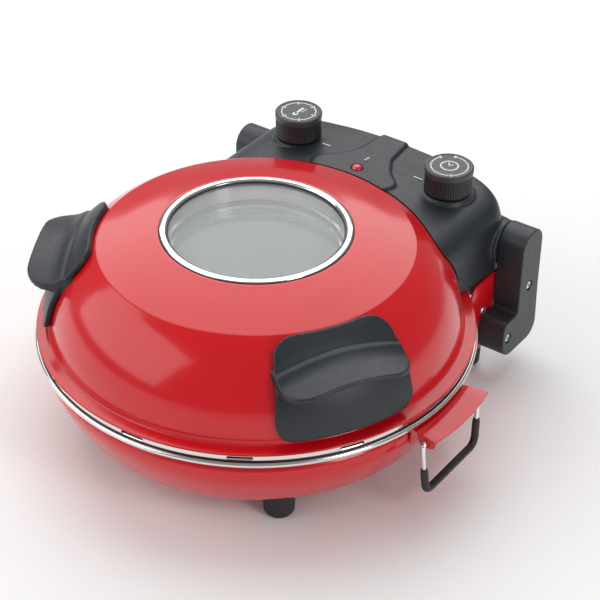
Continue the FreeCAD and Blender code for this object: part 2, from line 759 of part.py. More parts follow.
def housing_screws():
    """Screws that hold the cover of the housing, heads below."""
    screws = []
    for x in housing_screw_x:
        spot = V(x, housing_screw_y, housing_bottom)
        head = rod(3.6, spot + V(0, 0, -2.0), spot)
        screws.append(head.fuse(rod(screw_radius, spot + V(0, 0, -2.0), spot + V(0, 0, 14.0))))
    return screws


def housing_posts():
    """Posts on the housing's back wall that the cover's screws bite into."""
    posts = []
    for x in housing_screw_x:
        foot_end = V(x, housing_screw_y, housing_bottom + 2.5)
        post = rod(5.0, foot_end, foot_end + V(0, 0, 20.0))
        web = box((x - 1.5, housing_screw_y, foot_end.z), (x + 1.5, housing_back_y - 1.0, foot_end.z + 20.0))
        pilot = rod(screw_radius - 0.1, foot_end, foot_end + V(0, 0, 12.0))
        posts.append(post.fuse(web).cut(pilot))
    return posts


def panel_outline():
    right = [(13.5, housing_back_y), (17.5, 170.0), (27.0, 154.0), (43.5, 139.0), (33.0, 122.0)]
    return right + [(-x, y) for x, y in right[::-1]]


def centre_panel():
    """Raised panel in the middle of the housing, which holds the pilot lamp."""
    cutter = plate_z(panel_outline(), [0, 14.0, 30.0, 7.0, 4.0, 4.0, 7.0, 30.0, 14.0, 0], 60.0, 100.0)
    raised = housing_block(-panel_rise, 20.0).cut(housing_block(0.0, 20.0))
    panel = raised.common(cutter).common(box((-60, 100, 60), (60, housing_back_y, 100)))
    panel = panel.cut(lid_body(housing_lid_gap))
    well = rod(lamp_radius + 0.3, V(0, lamp_y, 60), V(0, lamp_y, 100))
    dish = Part.makeCone(lamp_radius + 0.3, lamp_radius + 3.4, 1.8, V(0, lamp_y, lamp_seat + 0.3), UP)
    return panel.cut([well, dish])


def pilot_lamp_lens():
    dome_top = lamp_seat + 3.6
    lens = spun([("line", [(0, lamp_stem_end), (lamp_radius, lamp_stem_end), (lamp_radius, lamp_seat)]),
                 ("curve", [(lamp_radius, lamp_seat), (3.8, lamp_seat + 1.9), (2.1, lamp_seat + 3.2),
                            (0, dome_top)]),
                 ("line", [(0, dome_top), (0, lamp_stem_end)])])
    return placed(lens, (0, lamp_y))


def pilot_lamp_body():
    return placed(ring(0.0, 4.2, 66.0, lamp_stem_end), (0, lamp_y)).cut(lid_body(1.0))


def control_body(height):
    """A thermostat or timer under the housing's top, bored for its shaft."""
    can = rod(17.0, V(knob_x, knob_y, control_top - height), V(knob_x, knob_y, control_top))
    bore = [V(knob_x, knob_y, z) for z in (control_top - shaft_grip - 0.5, control_top + 1.0)]
    return can.cut(rod(shaft_radius + running_gap, *bore))


def shaft():
    bar = rod(shaft_radius, V(knob_x, knob_y, control_top - shaft_grip), V(knob_x, knob_y, knob_top - 8.0))
    flat = box((knob_x - 4, knob_y + 1.6, knob_bottom + 2.0), (knob_x + 4, knob_y + 5, knob_top))
    return bar.cut(flat)


def knob_grip():
    """Ribbed skirt of a knob, hollow below, with a hub for its shaft."""
    seat = knob_top - knob_cap_height
    outer = rod(knob_radius - 0.8, V(0, 0, knob_bottom), V(0, 0, seat))
    hollow = rod(knob_radius - 3.4, V(0, 0, knob_bottom - 1), V(0, 0, seat - 2.5))
    hub = rod(6.0, V(0, 0, knob_bottom + 1.0), V(0, 0, seat - 1.0))
    ribs = []
    for index in range(knob_ribs):
        rib = rod(0.7, V(knob_radius - 0.9, 0, knob_bottom + 1.5), V(knob_radius - 0.9, 0, seat))
        ribs.append(turned(rib, index * 360.0 / knob_ribs))
    grip = outer.cut(hollow).fuse([hub] + ribs)
    bore = rod(shaft_radius, V(0, 0, knob_bottom - 1), V(0, 0, knob_top - 8.0))
    key = box((-4, 1.6, knob_bottom + 2.0), (4, 5, knob_top - 8.0))
    return placed(grip.cut(bore.cut(key)), (knob_x, knob_y))


def knob_cap():
    """Smooth cap with the dial face."""
    low = knob_top - knob_cap_height
    edge = 0.8
    cap = spun_lines([(0, low), (knob_radius, low), (knob_radius, knob_top - edge),
                      (knob_radius - edge, knob_top), (knob_radius - 2.4, knob_top),
                      (knob_radius - 2.8, knob_top - 0.4), (0, knob_top - 0.4)])
    return placed(cap, (knob_x, knob_y))


def hinge_bush():
    sleeve = pin_axis(bush_radius, housing_half_width - 15.0, boss_end_x)
    return sleeve.cut(pin_axis(pin_radius + running_gap, housing_half_width - 16.0, boss_end_x + 1.0))


def terminal_block():
    """Ceramic block inside the housing, where the elements' wires meet."""
    low = housing_bottom + 2.5
    block = box((-26, 177, low), (26, 191, low + 14.0))
    wells = [rod(2.5, V(x, 184, low + 4.0), V(x, 184, low + 15.0)) for x in (-18, -6, 6, 18)]
    return block.cut(wells)


def cord_gland():
    """Strain-relief bush in the housing's back wall, where the mains lead enters."""
    y = housing_back_y
    collar = rod(8.0, V(60, y, 40), V(60, y + 2.0, 40))
    stem = rod(6.0, V(60, y - 8.0, 40), V(60, y + 3.0, 40))
    return collar.fuse(stem).cut(rod(3.6, V(60, y - 9, 40), V(60, y + 4, 40)))


# ---- the assembly --------------------------------------------------------------------------------

node("base_shell", base_shell())
node("base_pan", base_pan())
node("base_insulation", base_insulation())
node("base_tie_screws", Part.makeCompound(tie_screws()))
node("lower_element", heating_element(105.0, lower_element_height, 163.0))
node("lower_element_clips", element_clips(105.0, lower_element_height, pan_floor))
node("baking_stone", baking_stone())

foot_floor = bowl_floor - 0.1
node("front_feet", both_sides(placed(foot(foot_radius, foot_floor), front_foot)))
node("rear_feet", both_sides(placed(foot(rear_foot_radius, rear_foot_top), rear_foot)))
front_screw = placed(foot_screw(bowl_floor + sheet), front_foot)
rear_screw = placed(foot_screw(rear_foot_top + bracket_sheet), rear_foot)
node("foot_screws", Part.makeCompound([front_screw, mirrored(front_screw), rear_screw, mirrored(rear_screw)]))

right_hand = {
    "hinge_bracket": hinge_bracket(),
    "arm_cover": arm_cover(),
    "arm_core": arm_core(),
    "hinge_pin": hinge_pin(),
    "bail_bracket": bail_bracket(),
    "bail_wire": bail_wire(),
    "bail_sleeve": bail_sleeve(),
    "handle": handle(),
}
for name, shape in right_hand.items():
    node("right_" + name, shape)
    node("left_" + name, mirrored(shape))

rivets = bracket_rivets() + bail_rivets()
node("bracket_rivets", Part.makeCompound(rivets + [mirrored(rivet) for rivet in rivets]))
screws = arm_screws()
node("arm_screws", Part.makeCompound(screws + [mirrored(screw) for screw in screws]))

node("lid_shell", lid_shell())
node("lid_pan", lid_pan())
node("heat_reflector", heat_reflector())
node("lid_gasket", lid_gasket())
node("window_ring", window_ring())
node("window_gasket", window_gasket())
node("window_glass", window_glass())
node("window_spacer", window_spacer())
node("inner_glass", inner_glass())
node("inner_window_ring", inner_window_ring())
node("upper_element", heating_element(100.0, upper_element_height, 178.0))
node("upper_element_clips", element_clips(100.0, upper_element_height, 63.1))
screws = handle_screws()
node("handle_screws", Part.makeCompound(screws + [mirrored(screw) for screw in screws]))

node("housing_shell", housing_shell())
node("housing_base", housing_base())
node("housing_screws", Part.makeCompound(housing_screws()))
node("centre_panel", centre_panel())
node("pilot_lamp_lens", pilot_lamp_lens())
node("pilot_lamp_body", pilot_lamp_body())
node("hinge_bushes", both_sides(hinge_bush()))
node("terminal_block", terminal_block())
node("cord_gland", cord_gland())

node("timer_body", control_body(26.0))
node("timer_shaft", shaft())
node("timer_knob", knob_grip())
node("timer_knob_cap", knob_cap())
node("thermostat_body", mirrored(control_body(22.0)))
node("thermostat_shaft", mirrored(shaft()))
node("thermostat_knob", mirrored(knob_grip()))
node("thermostat_knob_cap", mirrored(knob_cap()))


def save(name, shape):
    moved = shape.copy()
    moved.translate(V(0, bowl_axis_y, rim_above_table))
    if not moved.isValid():
        print("invalid shape:", name)
    moved.exportStep("parts/" + name + ".step")


os.makedirs("parts", exist_ok=True)
for name, shape in nodes.items():
    save(name, shape)
print(len(nodes), "nodes saved")
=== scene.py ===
import math

import bmesh
import bpy
from mathutils import Matrix, Vector


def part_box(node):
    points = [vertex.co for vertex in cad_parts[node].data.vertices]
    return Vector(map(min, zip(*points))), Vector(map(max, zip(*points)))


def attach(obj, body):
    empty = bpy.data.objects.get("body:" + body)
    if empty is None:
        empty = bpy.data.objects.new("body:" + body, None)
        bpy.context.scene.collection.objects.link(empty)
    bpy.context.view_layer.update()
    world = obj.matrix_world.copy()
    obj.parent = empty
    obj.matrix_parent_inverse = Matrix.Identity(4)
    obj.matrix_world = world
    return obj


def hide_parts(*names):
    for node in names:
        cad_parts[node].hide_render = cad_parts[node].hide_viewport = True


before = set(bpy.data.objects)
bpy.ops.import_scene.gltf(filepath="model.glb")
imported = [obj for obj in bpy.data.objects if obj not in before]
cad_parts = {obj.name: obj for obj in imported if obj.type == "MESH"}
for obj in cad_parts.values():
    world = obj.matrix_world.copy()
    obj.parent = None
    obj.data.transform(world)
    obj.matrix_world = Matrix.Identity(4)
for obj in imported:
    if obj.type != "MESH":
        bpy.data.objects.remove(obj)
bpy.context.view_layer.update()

# The pieces are built in millimetres about the bowl's axis, with height 0 at the middle of the rolled rim,
# and at() puts a point into the frame. The front is -Y and the right-hand side is +X.

MM = 0.001
ROLL = 4.8                 # thickness of the steel pan's rolled rim
pan_low, pan_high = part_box("base_pan")
RIM_RADIUS = (pan_high.x - pan_low.x) / 2 / MM
BOWL_Y = (pan_low.y + pan_high.y) / 2 / MM
RIM_Z = pan_high.z / MM - ROLL / 2
TABLE = -RIM_Z
STEPS, FINE = 256, 320     # divisions of a round part, and of the dome
SHEET = 1.2                # thickness of the enamelled steel
LINER = 0.9                # thickness of the steel inside the lid


def at(point):
    x, y, z = point
    return Vector((x * MM, (y + BOWL_Y) * MM, (z + RIM_Z) * MM))


def cad_box(name):
    """A CAD node's box in bowl millimetres."""
    low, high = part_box(name)
    shift = Vector((0, BOWL_Y, RIM_Z))
    return low / MM - shift, high / MM - shift


# ---- outlines and curves -------------------------------------------------------------------------

def fillet(points, radii, closed=True, steps=6):
    """The outline or path through these points, each corner rounded to its own radius."""
    count = len(points)
    result = []
    for index, corner in enumerate(points):
        radius = radii[index] if hasattr(radii, "__len__") else radii
        corner = Vector(corner)
        if radius == 0 or (not closed and index in (0, count - 1)):
            result.append(corner)
            continue
        back = Vector(points[index - 1]) - corner
        ahead = Vector(points[(index + 1) % count]) - corner
        half = back.angle(ahead) / 2
        if half > math.radians(89.5):
            result.append(corner)
            continue
        reach = min(radius / math.tan(half), 0.495 * back.length, 0.495 * ahead.length)
        radius = reach * math.tan(half)
        back.normalize()
        ahead.normalize()
        centre = corner + (back + ahead).normalized() * (radius / math.sin(half))
        first = corner + back * reach - centre
        last = corner + ahead * reach - centre
        turn = first.angle(last)
        for step in range(steps + 1):
            share = step / steps
            spoke = (first * math.sin((1 - share) * turn) + last * math.sin(share * turn)) / math.sin(turn)
            result.append(centre + spoke)
    return result


def smooth(points, per=6):
    """A smooth curve through these points."""
    points = [Vector(point) for point in points]
    padded = [2 * points[0] - points[1]] + points + [2 * points[-1] - points[-2]]
    result = []
    for index in range(len(points) - 1):
        a, b, c, d = padded[index:index + 4]
        for step in range(per):
            t = step / per
            result.append(0.5 * (2 * b + (c - a) * t + (2 * a - 5 * b + 4 * c - d) * t * t
                                 + (3 * b - a - 3 * c + d) * t ** 3))
    return result + [points[-1]]


def offset(outline, gap):
    """A closed outline moved inwards by gap (outlines run anticlockwise), with mitred corners."""
    inner = []
    count = len(outline)
    for index, point in enumerate(outline):
        before = (point - outline[index - 1]).normalized()
        after = (outline[(index + 1) % count] - point).normalized()
        normal = Vector((-before.y - after.y, before.x + after.x))
        size = normal.length_squared
        inner.append(point + normal * (2 * gap / size) if size > 1e-9 else point.copy())
    return inner


def thickened(path, gap):
    """An open (radius, height) path and the same path moved gap to its left, as one closed outline."""
    back = []
    for index, point in enumerate(path):
        before = path[max(index - 1, 0)]
        after = path[min(index + 1, len(path) - 1)]
        first = (point - before).normalized() if index else (after - point).normalized()
        second = (after - point).normalized() if index < len(path) - 1 else first
        normal = Vector((-first.y - second.y, first.x + second.x))
        back.append(point + normal * (2 * gap / normal.length_squared))
    return list(path) + back[::-1]


# ---- mesh builders -------------------------------------------------------------------------------

class Mesh:
    """Points and faces that are gathered before they become a piece."""

    def __init__(self):
        self.points = []
        self.faces = []

    def add(self, points, faces, place=None):
        start = len(self.points)
        points = [Vector(point) for point in points]
        if place is not None:
            points = [place @ point for point in points]
        self.points += points
        self.faces += [tuple(start + corner for corner in face) for face in faces]
        return self


def grid_faces(rows, columns, wrap_rows=False, wrap_columns=False):
    faces = []
    for row in range(rows if wrap_rows else rows - 1):
        for column in range(columns if wrap_columns else columns - 1):
            down = (row + 1) % rows
            right = (column + 1) % columns
            faces.append((row * columns + column, row * columns + right, down * columns + right,
                          down * columns + column))
    return faces


def tube_faces(rings, count):
    """The faces of stacked closed rings, with a flat face at either end."""
    last = (rings - 1) * count
    ends = [tuple(range(count))[::-1], tuple(last + corner for corner in range(count))]
    return grid_faces(rings, count, False, True) + ends


def lathe(outline, steps=STEPS):
    """A closed (radius, height) outline turned about the vertical axis."""
    points = []
    for step in range(steps):
        turn = 2 * math.pi * step / steps
        points += [(r * math.sin(turn), -r * math.cos(turn), z) for r, z in outline]
    return points, grid_faces(steps, len(outline), True, True)


def spun(outline, steps=STEPS, place=None):
    """A mesh that starts as one turned outline."""
    return Mesh().add(*lathe(outline, steps), place)


def sweep(path, radius, sides=20):
    """A round bar along a path, with closed ends."""
    points = []
    tangent = (path[1] - path[0]).normalized()
    side = tangent.orthogonal().normalized()
    for index, spot in enumerate(path):
        before = path[max(index - 1, 0)]
        after = path[min(index + 1, len(path) - 1)]
        along = (after - before).normalized()
        side = (side - along * side.dot(along)).normalized()
        up = along.cross(side)
        size = radius[index] if hasattr(radius, "__len__") else radius
        for corner in range(sides):
            turn = 2 * math.pi * corner / sides
            points.append(spot + side * (size * math.cos(turn)) + up * (size * math.sin(turn)))
    return points, tube_faces(len(path), sides)


def slab(outline, low, high, edge=0.5, steps=4, low_edge=None):
    """A plate from a closed 2-D outline, with rounded rims, from low to high along the third axis."""
    low_edge = edge if low_edge is None else low_edge
    levels = []
    for size, level, sign in ((low_edge, low, 1), (edge, high, -1)):
        ring_set = [(size + 0.4, level)] if size else []
        for step in range(steps + 1 if size else 1):
            turn = math.pi / 2 * step / steps
            ring_set.append((size * (1 - math.sin(turn)), level + sign * size * (1 - math.cos(turn))))
        levels += ring_set if sign > 0 else ring_set[::-1]
    points = []
    for gap, level in levels:
        points += [(point.x, point.y, level) for point in (offset(outline, gap) if gap > 1e-6 else outline)]
    return points, tube_faces(len(levels), len(outline))


def turned(angle):
    """Turns a shape about the vertical axis, from the front towards +X."""
    return Matrix.Rotation(math.radians(angle), 4, "Z")


def moved(x, y, z):
    return Matrix.Translation((x, y, z))


# the two hands: as drawn, and mirrored
SIDES = (("right", Matrix.Identity(4)), ("left", Matrix.Diagonal((-1, 1, 1, 1))))
ALONG_X = Matrix(((0, 0, 1, 0), (1, 0, 0, 0), (0, 1, 0, 0), (0, 0, 0, 1)))   # local z runs along +X
ALONG_Y = Matrix(((1, 0, 0, 0), (0, 0, 1, 0), (0, -1, 0, 0), (0, 0, 0, 1)))  # local z runs along +Y


def outwards(angle):
    """Local z points away from the bowl's axis, local y points up."""
    return turned(angle) @ Matrix(((1, 0, 0, 0), (0, 0, -1, 0), (0, 1, 0, 0), (0, 0, 0, 1)))


def clean(obj):
    bm = bmesh.new()
    bm.from_mesh(obj.data)
    bmesh.ops.remove_doubles(bm, verts=bm.verts, dist=1e-7)
    bmesh.ops.dissolve_degenerate(bm, edges=bm.edges, dist=1e-8)
    bmesh.ops.recalc_face_normals(bm, faces=bm.faces)
    bm.to_mesh(obj.data)
    bm.free()


def apply_modifiers(obj):
    graph = bpy.context.evaluated_depsgraph_get()
    mesh = bpy.data.meshes.new_from_object(obj.evaluated_get(graph))
    obj.modifiers.clear()
    obj.data = mesh


def to_mesh(name, shape):
    mesh = bpy.data.meshes.new(name)
    mesh.from_pydata([at(point) for point in shape.points], [], shape.faces)
    return mesh


def linked(name, data):
    """A new object in the scene."""
    obj = bpy.data.objects.new(name, data)
    bpy.context.scene.collection.objects.link(obj)
    return obj


def new_object(name, shape):
    obj = linked(name, to_mesh(name, shape))
    clean(obj)
    return obj


def joined(obj, shape):
    """Adds more shapes to an object's mesh."""
    mesh = to_mesh("more", shape)
    bm = bmesh.new()
    bm.from_mesh(obj.data)
    bm.from_mesh(mesh)
    bm.to_mesh(obj.data)
    bm.free()
    bpy.data.meshes.remove(mesh)
    clean(obj)


def cut(obj, cutter, operation="DIFFERENCE"):
    """Removes one mesh from another, or keeps only what both share."""
    tool = new_object("cutter", cutter)
    modifier = obj.modifiers.new("cut", "BOOLEAN")
    modifier.operation = operation
    modifier.solver = "EXACT"
    modifier.object = tool
    bpy.context.view_layer.update()
    apply_modifiers(obj)
    bpy.data.objects.remove(tool)


def remeshed(obj, voxel, rounds):
    """One skin round everything in the mesh, with its edges and inner corners softened."""
    skin = obj.modifiers.new("skin", "REMESH")
    skin.mode = "VOXEL"
    skin.voxel_size = voxel * MM
    soften = obj.modifiers.new("soften", "SMOOTH")
    soften.factor = 0.5
    soften.iterations = rounds
    bpy.context.view_layer.update()
    apply_modifiers(obj)


def finish_piece(obj, material, body, stands_for=(), sharp=38.0):
    for polygon in obj.data.polygons:
        polygon.use_smooth = True
    obj.data.set_sharp_from_angle(angle=math.radians(sharp))
    obj.data.materials.clear()
    obj.data.materials.append(material)
    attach(obj, body)
    if stands_for:
        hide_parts(*stands_for)
    return obj


def piece(name, shape, material, body, stands_for=(), sharp=38.0):
    return finish_piece(new_object(name, shape), material, body, stands_for, sharp)


def round_piece(name, outline, material, body, node, steps=STEPS, place=None):
    """A turned piece, about the bowl's axis unless it is placed, which replaces one CAD node."""
    return piece(name, spun(outline, steps, place), material, body, [node])


def disc_piece(name, node, edge, material, body):
    """A flat disc as large as its CAD node, with rounded edges."""
    low, high = cad_box(node)
    outline = fillet([(0, low.z), (high.x, low.z), (high.x, high.z), (0, high.z)], [0, edge, edge, 0])
    return round_piece(name, outline, material, body, node)


# ---- materials -----------------------------------------------------------------------------------

def material(name, color, roughness, metallic=0.0, **sockets):
    made = bpy.data.materials.new(name)
    made.use_nodes = True
    shader = made.node_tree.nodes["Principled BSDF"]
    shader.inputs["Base Color"].default_value = (*color, 1.0)
    shader.inputs["Roughness"].default_value = roughness
    shader.inputs["Metallic"].default_value = metallic
    for socket, value in sockets.items():
        shader.inputs[socket.replace("_", " ")].default_value = value
    return made


def ring_coordinates(made, stretch):
    """Coordinates (radius, height, 0) about the bowl's axis, so that grain runs round it."""
    nodes, links = made.node_tree.nodes, made.node_tree.links
    source = nodes.new("ShaderNodeTexCoord")
    shifted = nodes.new("ShaderNodeVectorMath")
    shifted.operation = "SUBTRACT"
    shifted.inputs[1].default_value = (0, BOWL_Y * MM, 0)
    links.new(source.outputs["Object"], shifted.inputs[0])
    split = nodes.new("ShaderNodeSeparateXYZ")
    links.new(shifted.outputs[0], split.inputs[0])
    flat = nodes.new("ShaderNodeCombineXYZ")
    links.new(split.outputs["X"], flat.inputs["X"])
    links.new(split.outputs["Y"], flat.inputs["Y"])
    length = nodes.new("ShaderNodeVectorMath")
    length.operation = "LENGTH"
    links.new(flat.outputs[0], length.inputs[0])
    together = nodes.new("ShaderNodeCombineXYZ")
    links.new(length.outputs["Value"], together.inputs["X"])
    links.new(split.outputs["Z"], together.inputs["Y"])
    scaled = nodes.new("ShaderNodeMapping")
    scaled.inputs["Scale"].default_value = stretch
    links.new(together.outputs[0], scaled.inputs["Vector"])
    return scaled.outputs["Vector"]


def noise(made, scale, detail=3.0, vector=None):
    """Noise in the object's own coordinates, or in those given."""
    nodes, links = made.node_tree.nodes, made.node_tree.links
    vector = vector or nodes.new("ShaderNodeTexCoord").outputs["Object"]
    texture = nodes.new("ShaderNodeTexNoise")
    texture.inputs["Scale"].default_value = scale
    texture.inputs["Detail"].default_value = detail
    links.new(vector, texture.inputs["Vector"])
    return texture.outputs["Fac"]


def add_bump(made, height, strength, distance):
    nodes, links = made.node_tree.nodes, made.node_tree.links
    shader = nodes["Principled BSDF"]
    bump = nodes.new("ShaderNodeBump")
    bump.inputs["Strength"].default_value = strength
    bump.inputs["Distance"].default_value = distance
    links.new(height, bump.inputs["Height"])
    earlier = shader.inputs["Normal"].links
    if earlier:
        links.new(earlier[0].from_socket, bump.inputs["Normal"])
    links.new(bump.outputs["Normal"], shader.inputs["Normal"])


def vary(made, socket, factor, low, high):
    """Lets a socket run from low to high with a texture."""
    nodes, links = made.node_tree.nodes, made.node_tree.links
    shader = nodes["Principled BSDF"]
    if hasattr(low, "__len__"):
        blend = nodes.new("ShaderNodeMix")
        blend.data_type = "RGBA"
        blend.inputs["A"].default_value = (*low, 1.0)
        blend.inputs["B"].default_value = (*high, 1.0)
        links.new(factor, blend.inputs["Factor"])
        links.new(blend.outputs["Result"], shader.inputs[socket])
        return
    spread = nodes.new("ShaderNodeMapRange")
    spread.inputs["From Min"].default_value = 0.3
    spread.inputs["From Max"].default_value = 0.7
    spread.inputs["To Min"].default_value = low
    spread.inputs["To Max"].default_value = high
    links.new(factor, spread.inputs["Value"])
    links.new(spread.outputs["Result"], shader.inputs[socket])


def textured(name, color, roughness, metallic=0.0, tint=None, shine=None, bumps=(), **sockets):
    """A material that varies with noise, which is given as (scale, detail).

    tint and shine are (noise, low, high), for the colour and the roughness. bumps are
    (noise, strength, distance).
    """
    made = material(name, color, roughness, metallic, **sockets)
    if tint:
        vary(made, "Base Color", noise(made, *tint[0]), *tint[1:])
    if shine:
        vary(made, "Roughness", noise(made, *shine[0]), *shine[1:])
    for grain, strength, distance in bumps:
        add_bump(made, noise(made, *grain), strength, distance)
    return made


def polished_steel():
    """Spun stainless sheet: bright, with faint turning lines round the rim."""
    made = material("polished_steel", (0.79, 0.78, 0.76), 0.14, 1.0)
    lines = noise(made, 1.0, 4.0, ring_coordinates(made, (5200, 5200, 1)))
    vary(made, "Roughness", lines, 0.10, 0.20)
    add_bump(made, lines, 0.06, 0.00005)
    vary(made, "Base Color", noise(made, 30.0), (0.74, 0.73, 0.71), (0.83, 0.82, 0.80))
    return made


def plastic(name, dark, light, low, high, grain):
    """Moulded plastic with a fine spark-eroded grain."""
    return textured(name, dark, low, 0.0, ((45.0, 3.0), dark, light), ((160.0, 3.0), low, high),
                    [((2600.0, 2.0), grain, 0.00008)])


def rubber(name, color, roughness):
    return textured(name, color, roughness, shine=((350.0, 3.0), roughness - 0.06, roughness + 0.08),
                    bumps=[((1500.0, 2.0), 0.12, 0.0001)])


def glass():
    """Tempered pane with a cool tint, seen through, that mirrors the sky more at a flat angle."""
    made = material("tempered_glass", (0.80, 0.86, 0.88), 0.02, IOR=1.5, Coat_Weight=1.0, Coat_Roughness=0.01)
    nodes, links = made.node_tree.nodes, made.node_tree.links
    layer = nodes.new("ShaderNodeLayerWeight")
    layer.inputs["Blend"].default_value = 0.35
    spread = nodes.new("ShaderNodeMapRange")
    spread.inputs["To Min"].default_value = 0.04
    spread.inputs["To Max"].default_value = 0.34
    links.new(layer.outputs["Facing"], spread.inputs["Value"])
    links.new(spread.outputs["Result"], nodes["Principled BSDF"].inputs["Alpha"])
    vary(made, "Roughness", noise(made, 40.0), 0.015, 0.04)
    return made


# glossy baked enamel over pressed steel, with the faint ripple of a sprayed coat
RED = textured("red_enamel", (0.62, 0.004, 0.010), 0.24, 0.0,
               ((14.0, 3.0), (0.57, 0.003, 0.008), (0.68, 0.005, 0.012)), ((60.0, 3.0), 0.20, 0.27),
               [((420.0, 2.0), 0.05, 0.0002)], Coat_Weight=0.7, Coat_Roughness=0.11, Specular_IOR_Level=0.25)
STEEL = polished_steel()
CHROME = textured("chrome_plate", (0.88, 0.88, 0.89), 0.06, 1.0,
                  ((25.0, 3.0), (0.84, 0.84, 0.85), (0.91, 0.91, 0.92)), ((300.0, 3.0), 0.04, 0.10))
ZINC = textured("zinc_plate", (0.52, 0.53, 0.55), 0.34, 1.0,
                ((90.0, 3.0), (0.46, 0.47, 0.49), (0.60, 0.61, 0.62)), ((500.0, 3.0), 0.26, 0.44))
ANTHRACITE = plastic("anthracite_plastic", (0.011, 0.015, 0.020), (0.017, 0.022, 0.029), 0.36, 0.46, 0.14)
# painted light: the housing's own plastic, drawn lighter to stand in for the light on the arms' outer faces
LIT_ARM_PLASTIC = plastic("lit_arm_plastic", (0.020, 0.025, 0.031), (0.028, 0.034, 0.041), 0.38, 0.48, 0.16)
BLACK_PLASTIC = plastic("black_plastic", (0.007, 0.008, 0.010), (0.012, 0.014, 0.017), 0.34, 0.46, 0.12)
CAP_PLASTIC = plastic("cap_plastic", (0.040, 0.045, 0.050), (0.052, 0.058, 0.064), 0.30, 0.40, 0.08)
SLEEVE = rubber("sleeve_vinyl", (0.016, 0.016, 0.018), 0.46)
RUBBER = rubber("foot_rubber", (0.022, 0.023, 0.025), 0.62)
SEAL = rubber("black_silicone", (0.006, 0.006, 0.007), 0.42)
# fired cordierite: buff and matt, with fine pits
STONE = textured("cordierite", (0.62, 0.52, 0.39), 0.86, 0.0,
                 ((160.0, 6.0), (0.57, 0.48, 0.36), (0.70, 0.61, 0.48)),
                 bumps=[((900.0, 4.0), 0.2, 0.0002), ((90.0, 2.0), 0.15, 0.0004)])
HEATER = textured("heater_steel", (0.16, 0.14, 0.13), 0.5, 0.9,
                  ((60.0, 3.0), (0.10, 0.09, 0.085), (0.27, 0.23, 0.20)),
                  bumps=[((1200.0, 3.0), 0.2, 0.0001)])
GLASS = glass()
LENS = textured("red_lens", (0.62, 0.01, 0.03), 0.12, shine=((200.0, 3.0), 0.08, 0.16), Coat_Weight=1.0,
                Coat_Roughness=0.03, Subsurface_Weight=0.3, Subsurface_Scale=0.002)
FIBRE = textured("fibre_mat", (0.78, 0.76, 0.70), 0.95, 0.0,
                 ((220.0, 6.0), (0.66, 0.63, 0.56), (0.86, 0.84, 0.79)), bumps=[((700.0, 6.0), 0.8, 0.001)])
CERAMIC = textured("steatite", (0.82, 0.80, 0.74), 0.5, 0.0,
                   ((120.0, 3.0), (0.76, 0.74, 0.68), (0.87, 0.85, 0.80)),
                   bumps=[((900.0, 3.0), 0.1, 0.0001)])
NYLON = plastic("natural_nylon", (0.70, 0.68, 0.62), (0.78, 0.76, 0.70), 0.4, 0.5, 0.05)
INK = textured("white_print", (0.80, 0.81, 0.82), 0.55, 0.0,
               ((900.0, 3.0), (0.68, 0.69, 0.70), (0.85, 0.86, 0.87)))


# ---- base ----------------------------------------------------------------------------------------

def bowl_shell():
    floor = cad_box("base_shell")[0].z
    side = [(171.0, -0.2), (171.0, -6.0), (171.2, -8.0), (172.6, -10.2), (173.4, -13.5), (172.6, -20.0),
            (169.4, -29.0), (164.9, -38.0), (160.0, -47.0), (155.6, -53.6), (151.0, -57.0), (145.0, floor)]
    path = smooth(side, 5) + [Vector((134.0, floor)), Vector((20.0, floor)), Vector((0.0, floor))]
    round_piece("bowl_shell", thickened(path, -SHEET), RED, "base", "base_shell")


def bowl_pan():
    """Steel pan with the rolled rim that the lid closes on."""
    roll_radius = ROLL / 2
    roll_centre = RIM_RADIUS - roll_radius
    face = [(roll_centre - 0.6, 0.9), (164.6, 0.9), (164.0, 0.2), (164.0, -11.0), (151.5, -11.0),
            (150.0, -31.0), (0.0, -31.0)]
    path = fillet(face, [0, 0.5, 0.5, 1.0, 1.2, 3.0, 0], False)
    circle = [Vector((roll_centre + roll_radius * math.cos(a), roll_radius * math.sin(a)))
              for a in [math.pi * step / 12 for step in range(24)]]
    shape = spun(thickened(path, 1.0)).add(*lathe(circle))
    piece("bowl_pan", shape, STEEL, "base", ["base_pan"])


def heating_loop(name, node, body):
    """A round loop of sheathed heater tube with two legs to the back."""
    low, high = cad_box(node)
    radius = (high.z - low.z) / 2
    height = (high.z + low.z) / 2
    loop = high.x - radius
    leg = 14.0
    bend = 12.0
    centre_y = math.sqrt((loop + bend) ** 2 - (leg + bend) ** 2)
    half = [Vector((leg, high.y, height)), Vector((leg, centre_y, height))]
    centre = Vector((leg + bend, centre_y, height))
    end = math.atan2(centre_y, leg + bend)
    for step in range(1, 9):
        turn = math.pi + end * step / 8
        half.append(centre + Vector((bend * math.cos(turn), bend * math.sin(turn), 0)))
    for step in range(1, 61):
        turn = end - (end + math.pi / 2) * step / 60
        half.append(Vector((loop * math.cos(turn), loop * math.sin(turn), height)))
    path = half + [Vector((-p.x, p.y, p.z)) for p in half[-2::-1]]
    piece(name, Mesh().add(*sweep(path, radius, 16)), HEATER, body, [node])


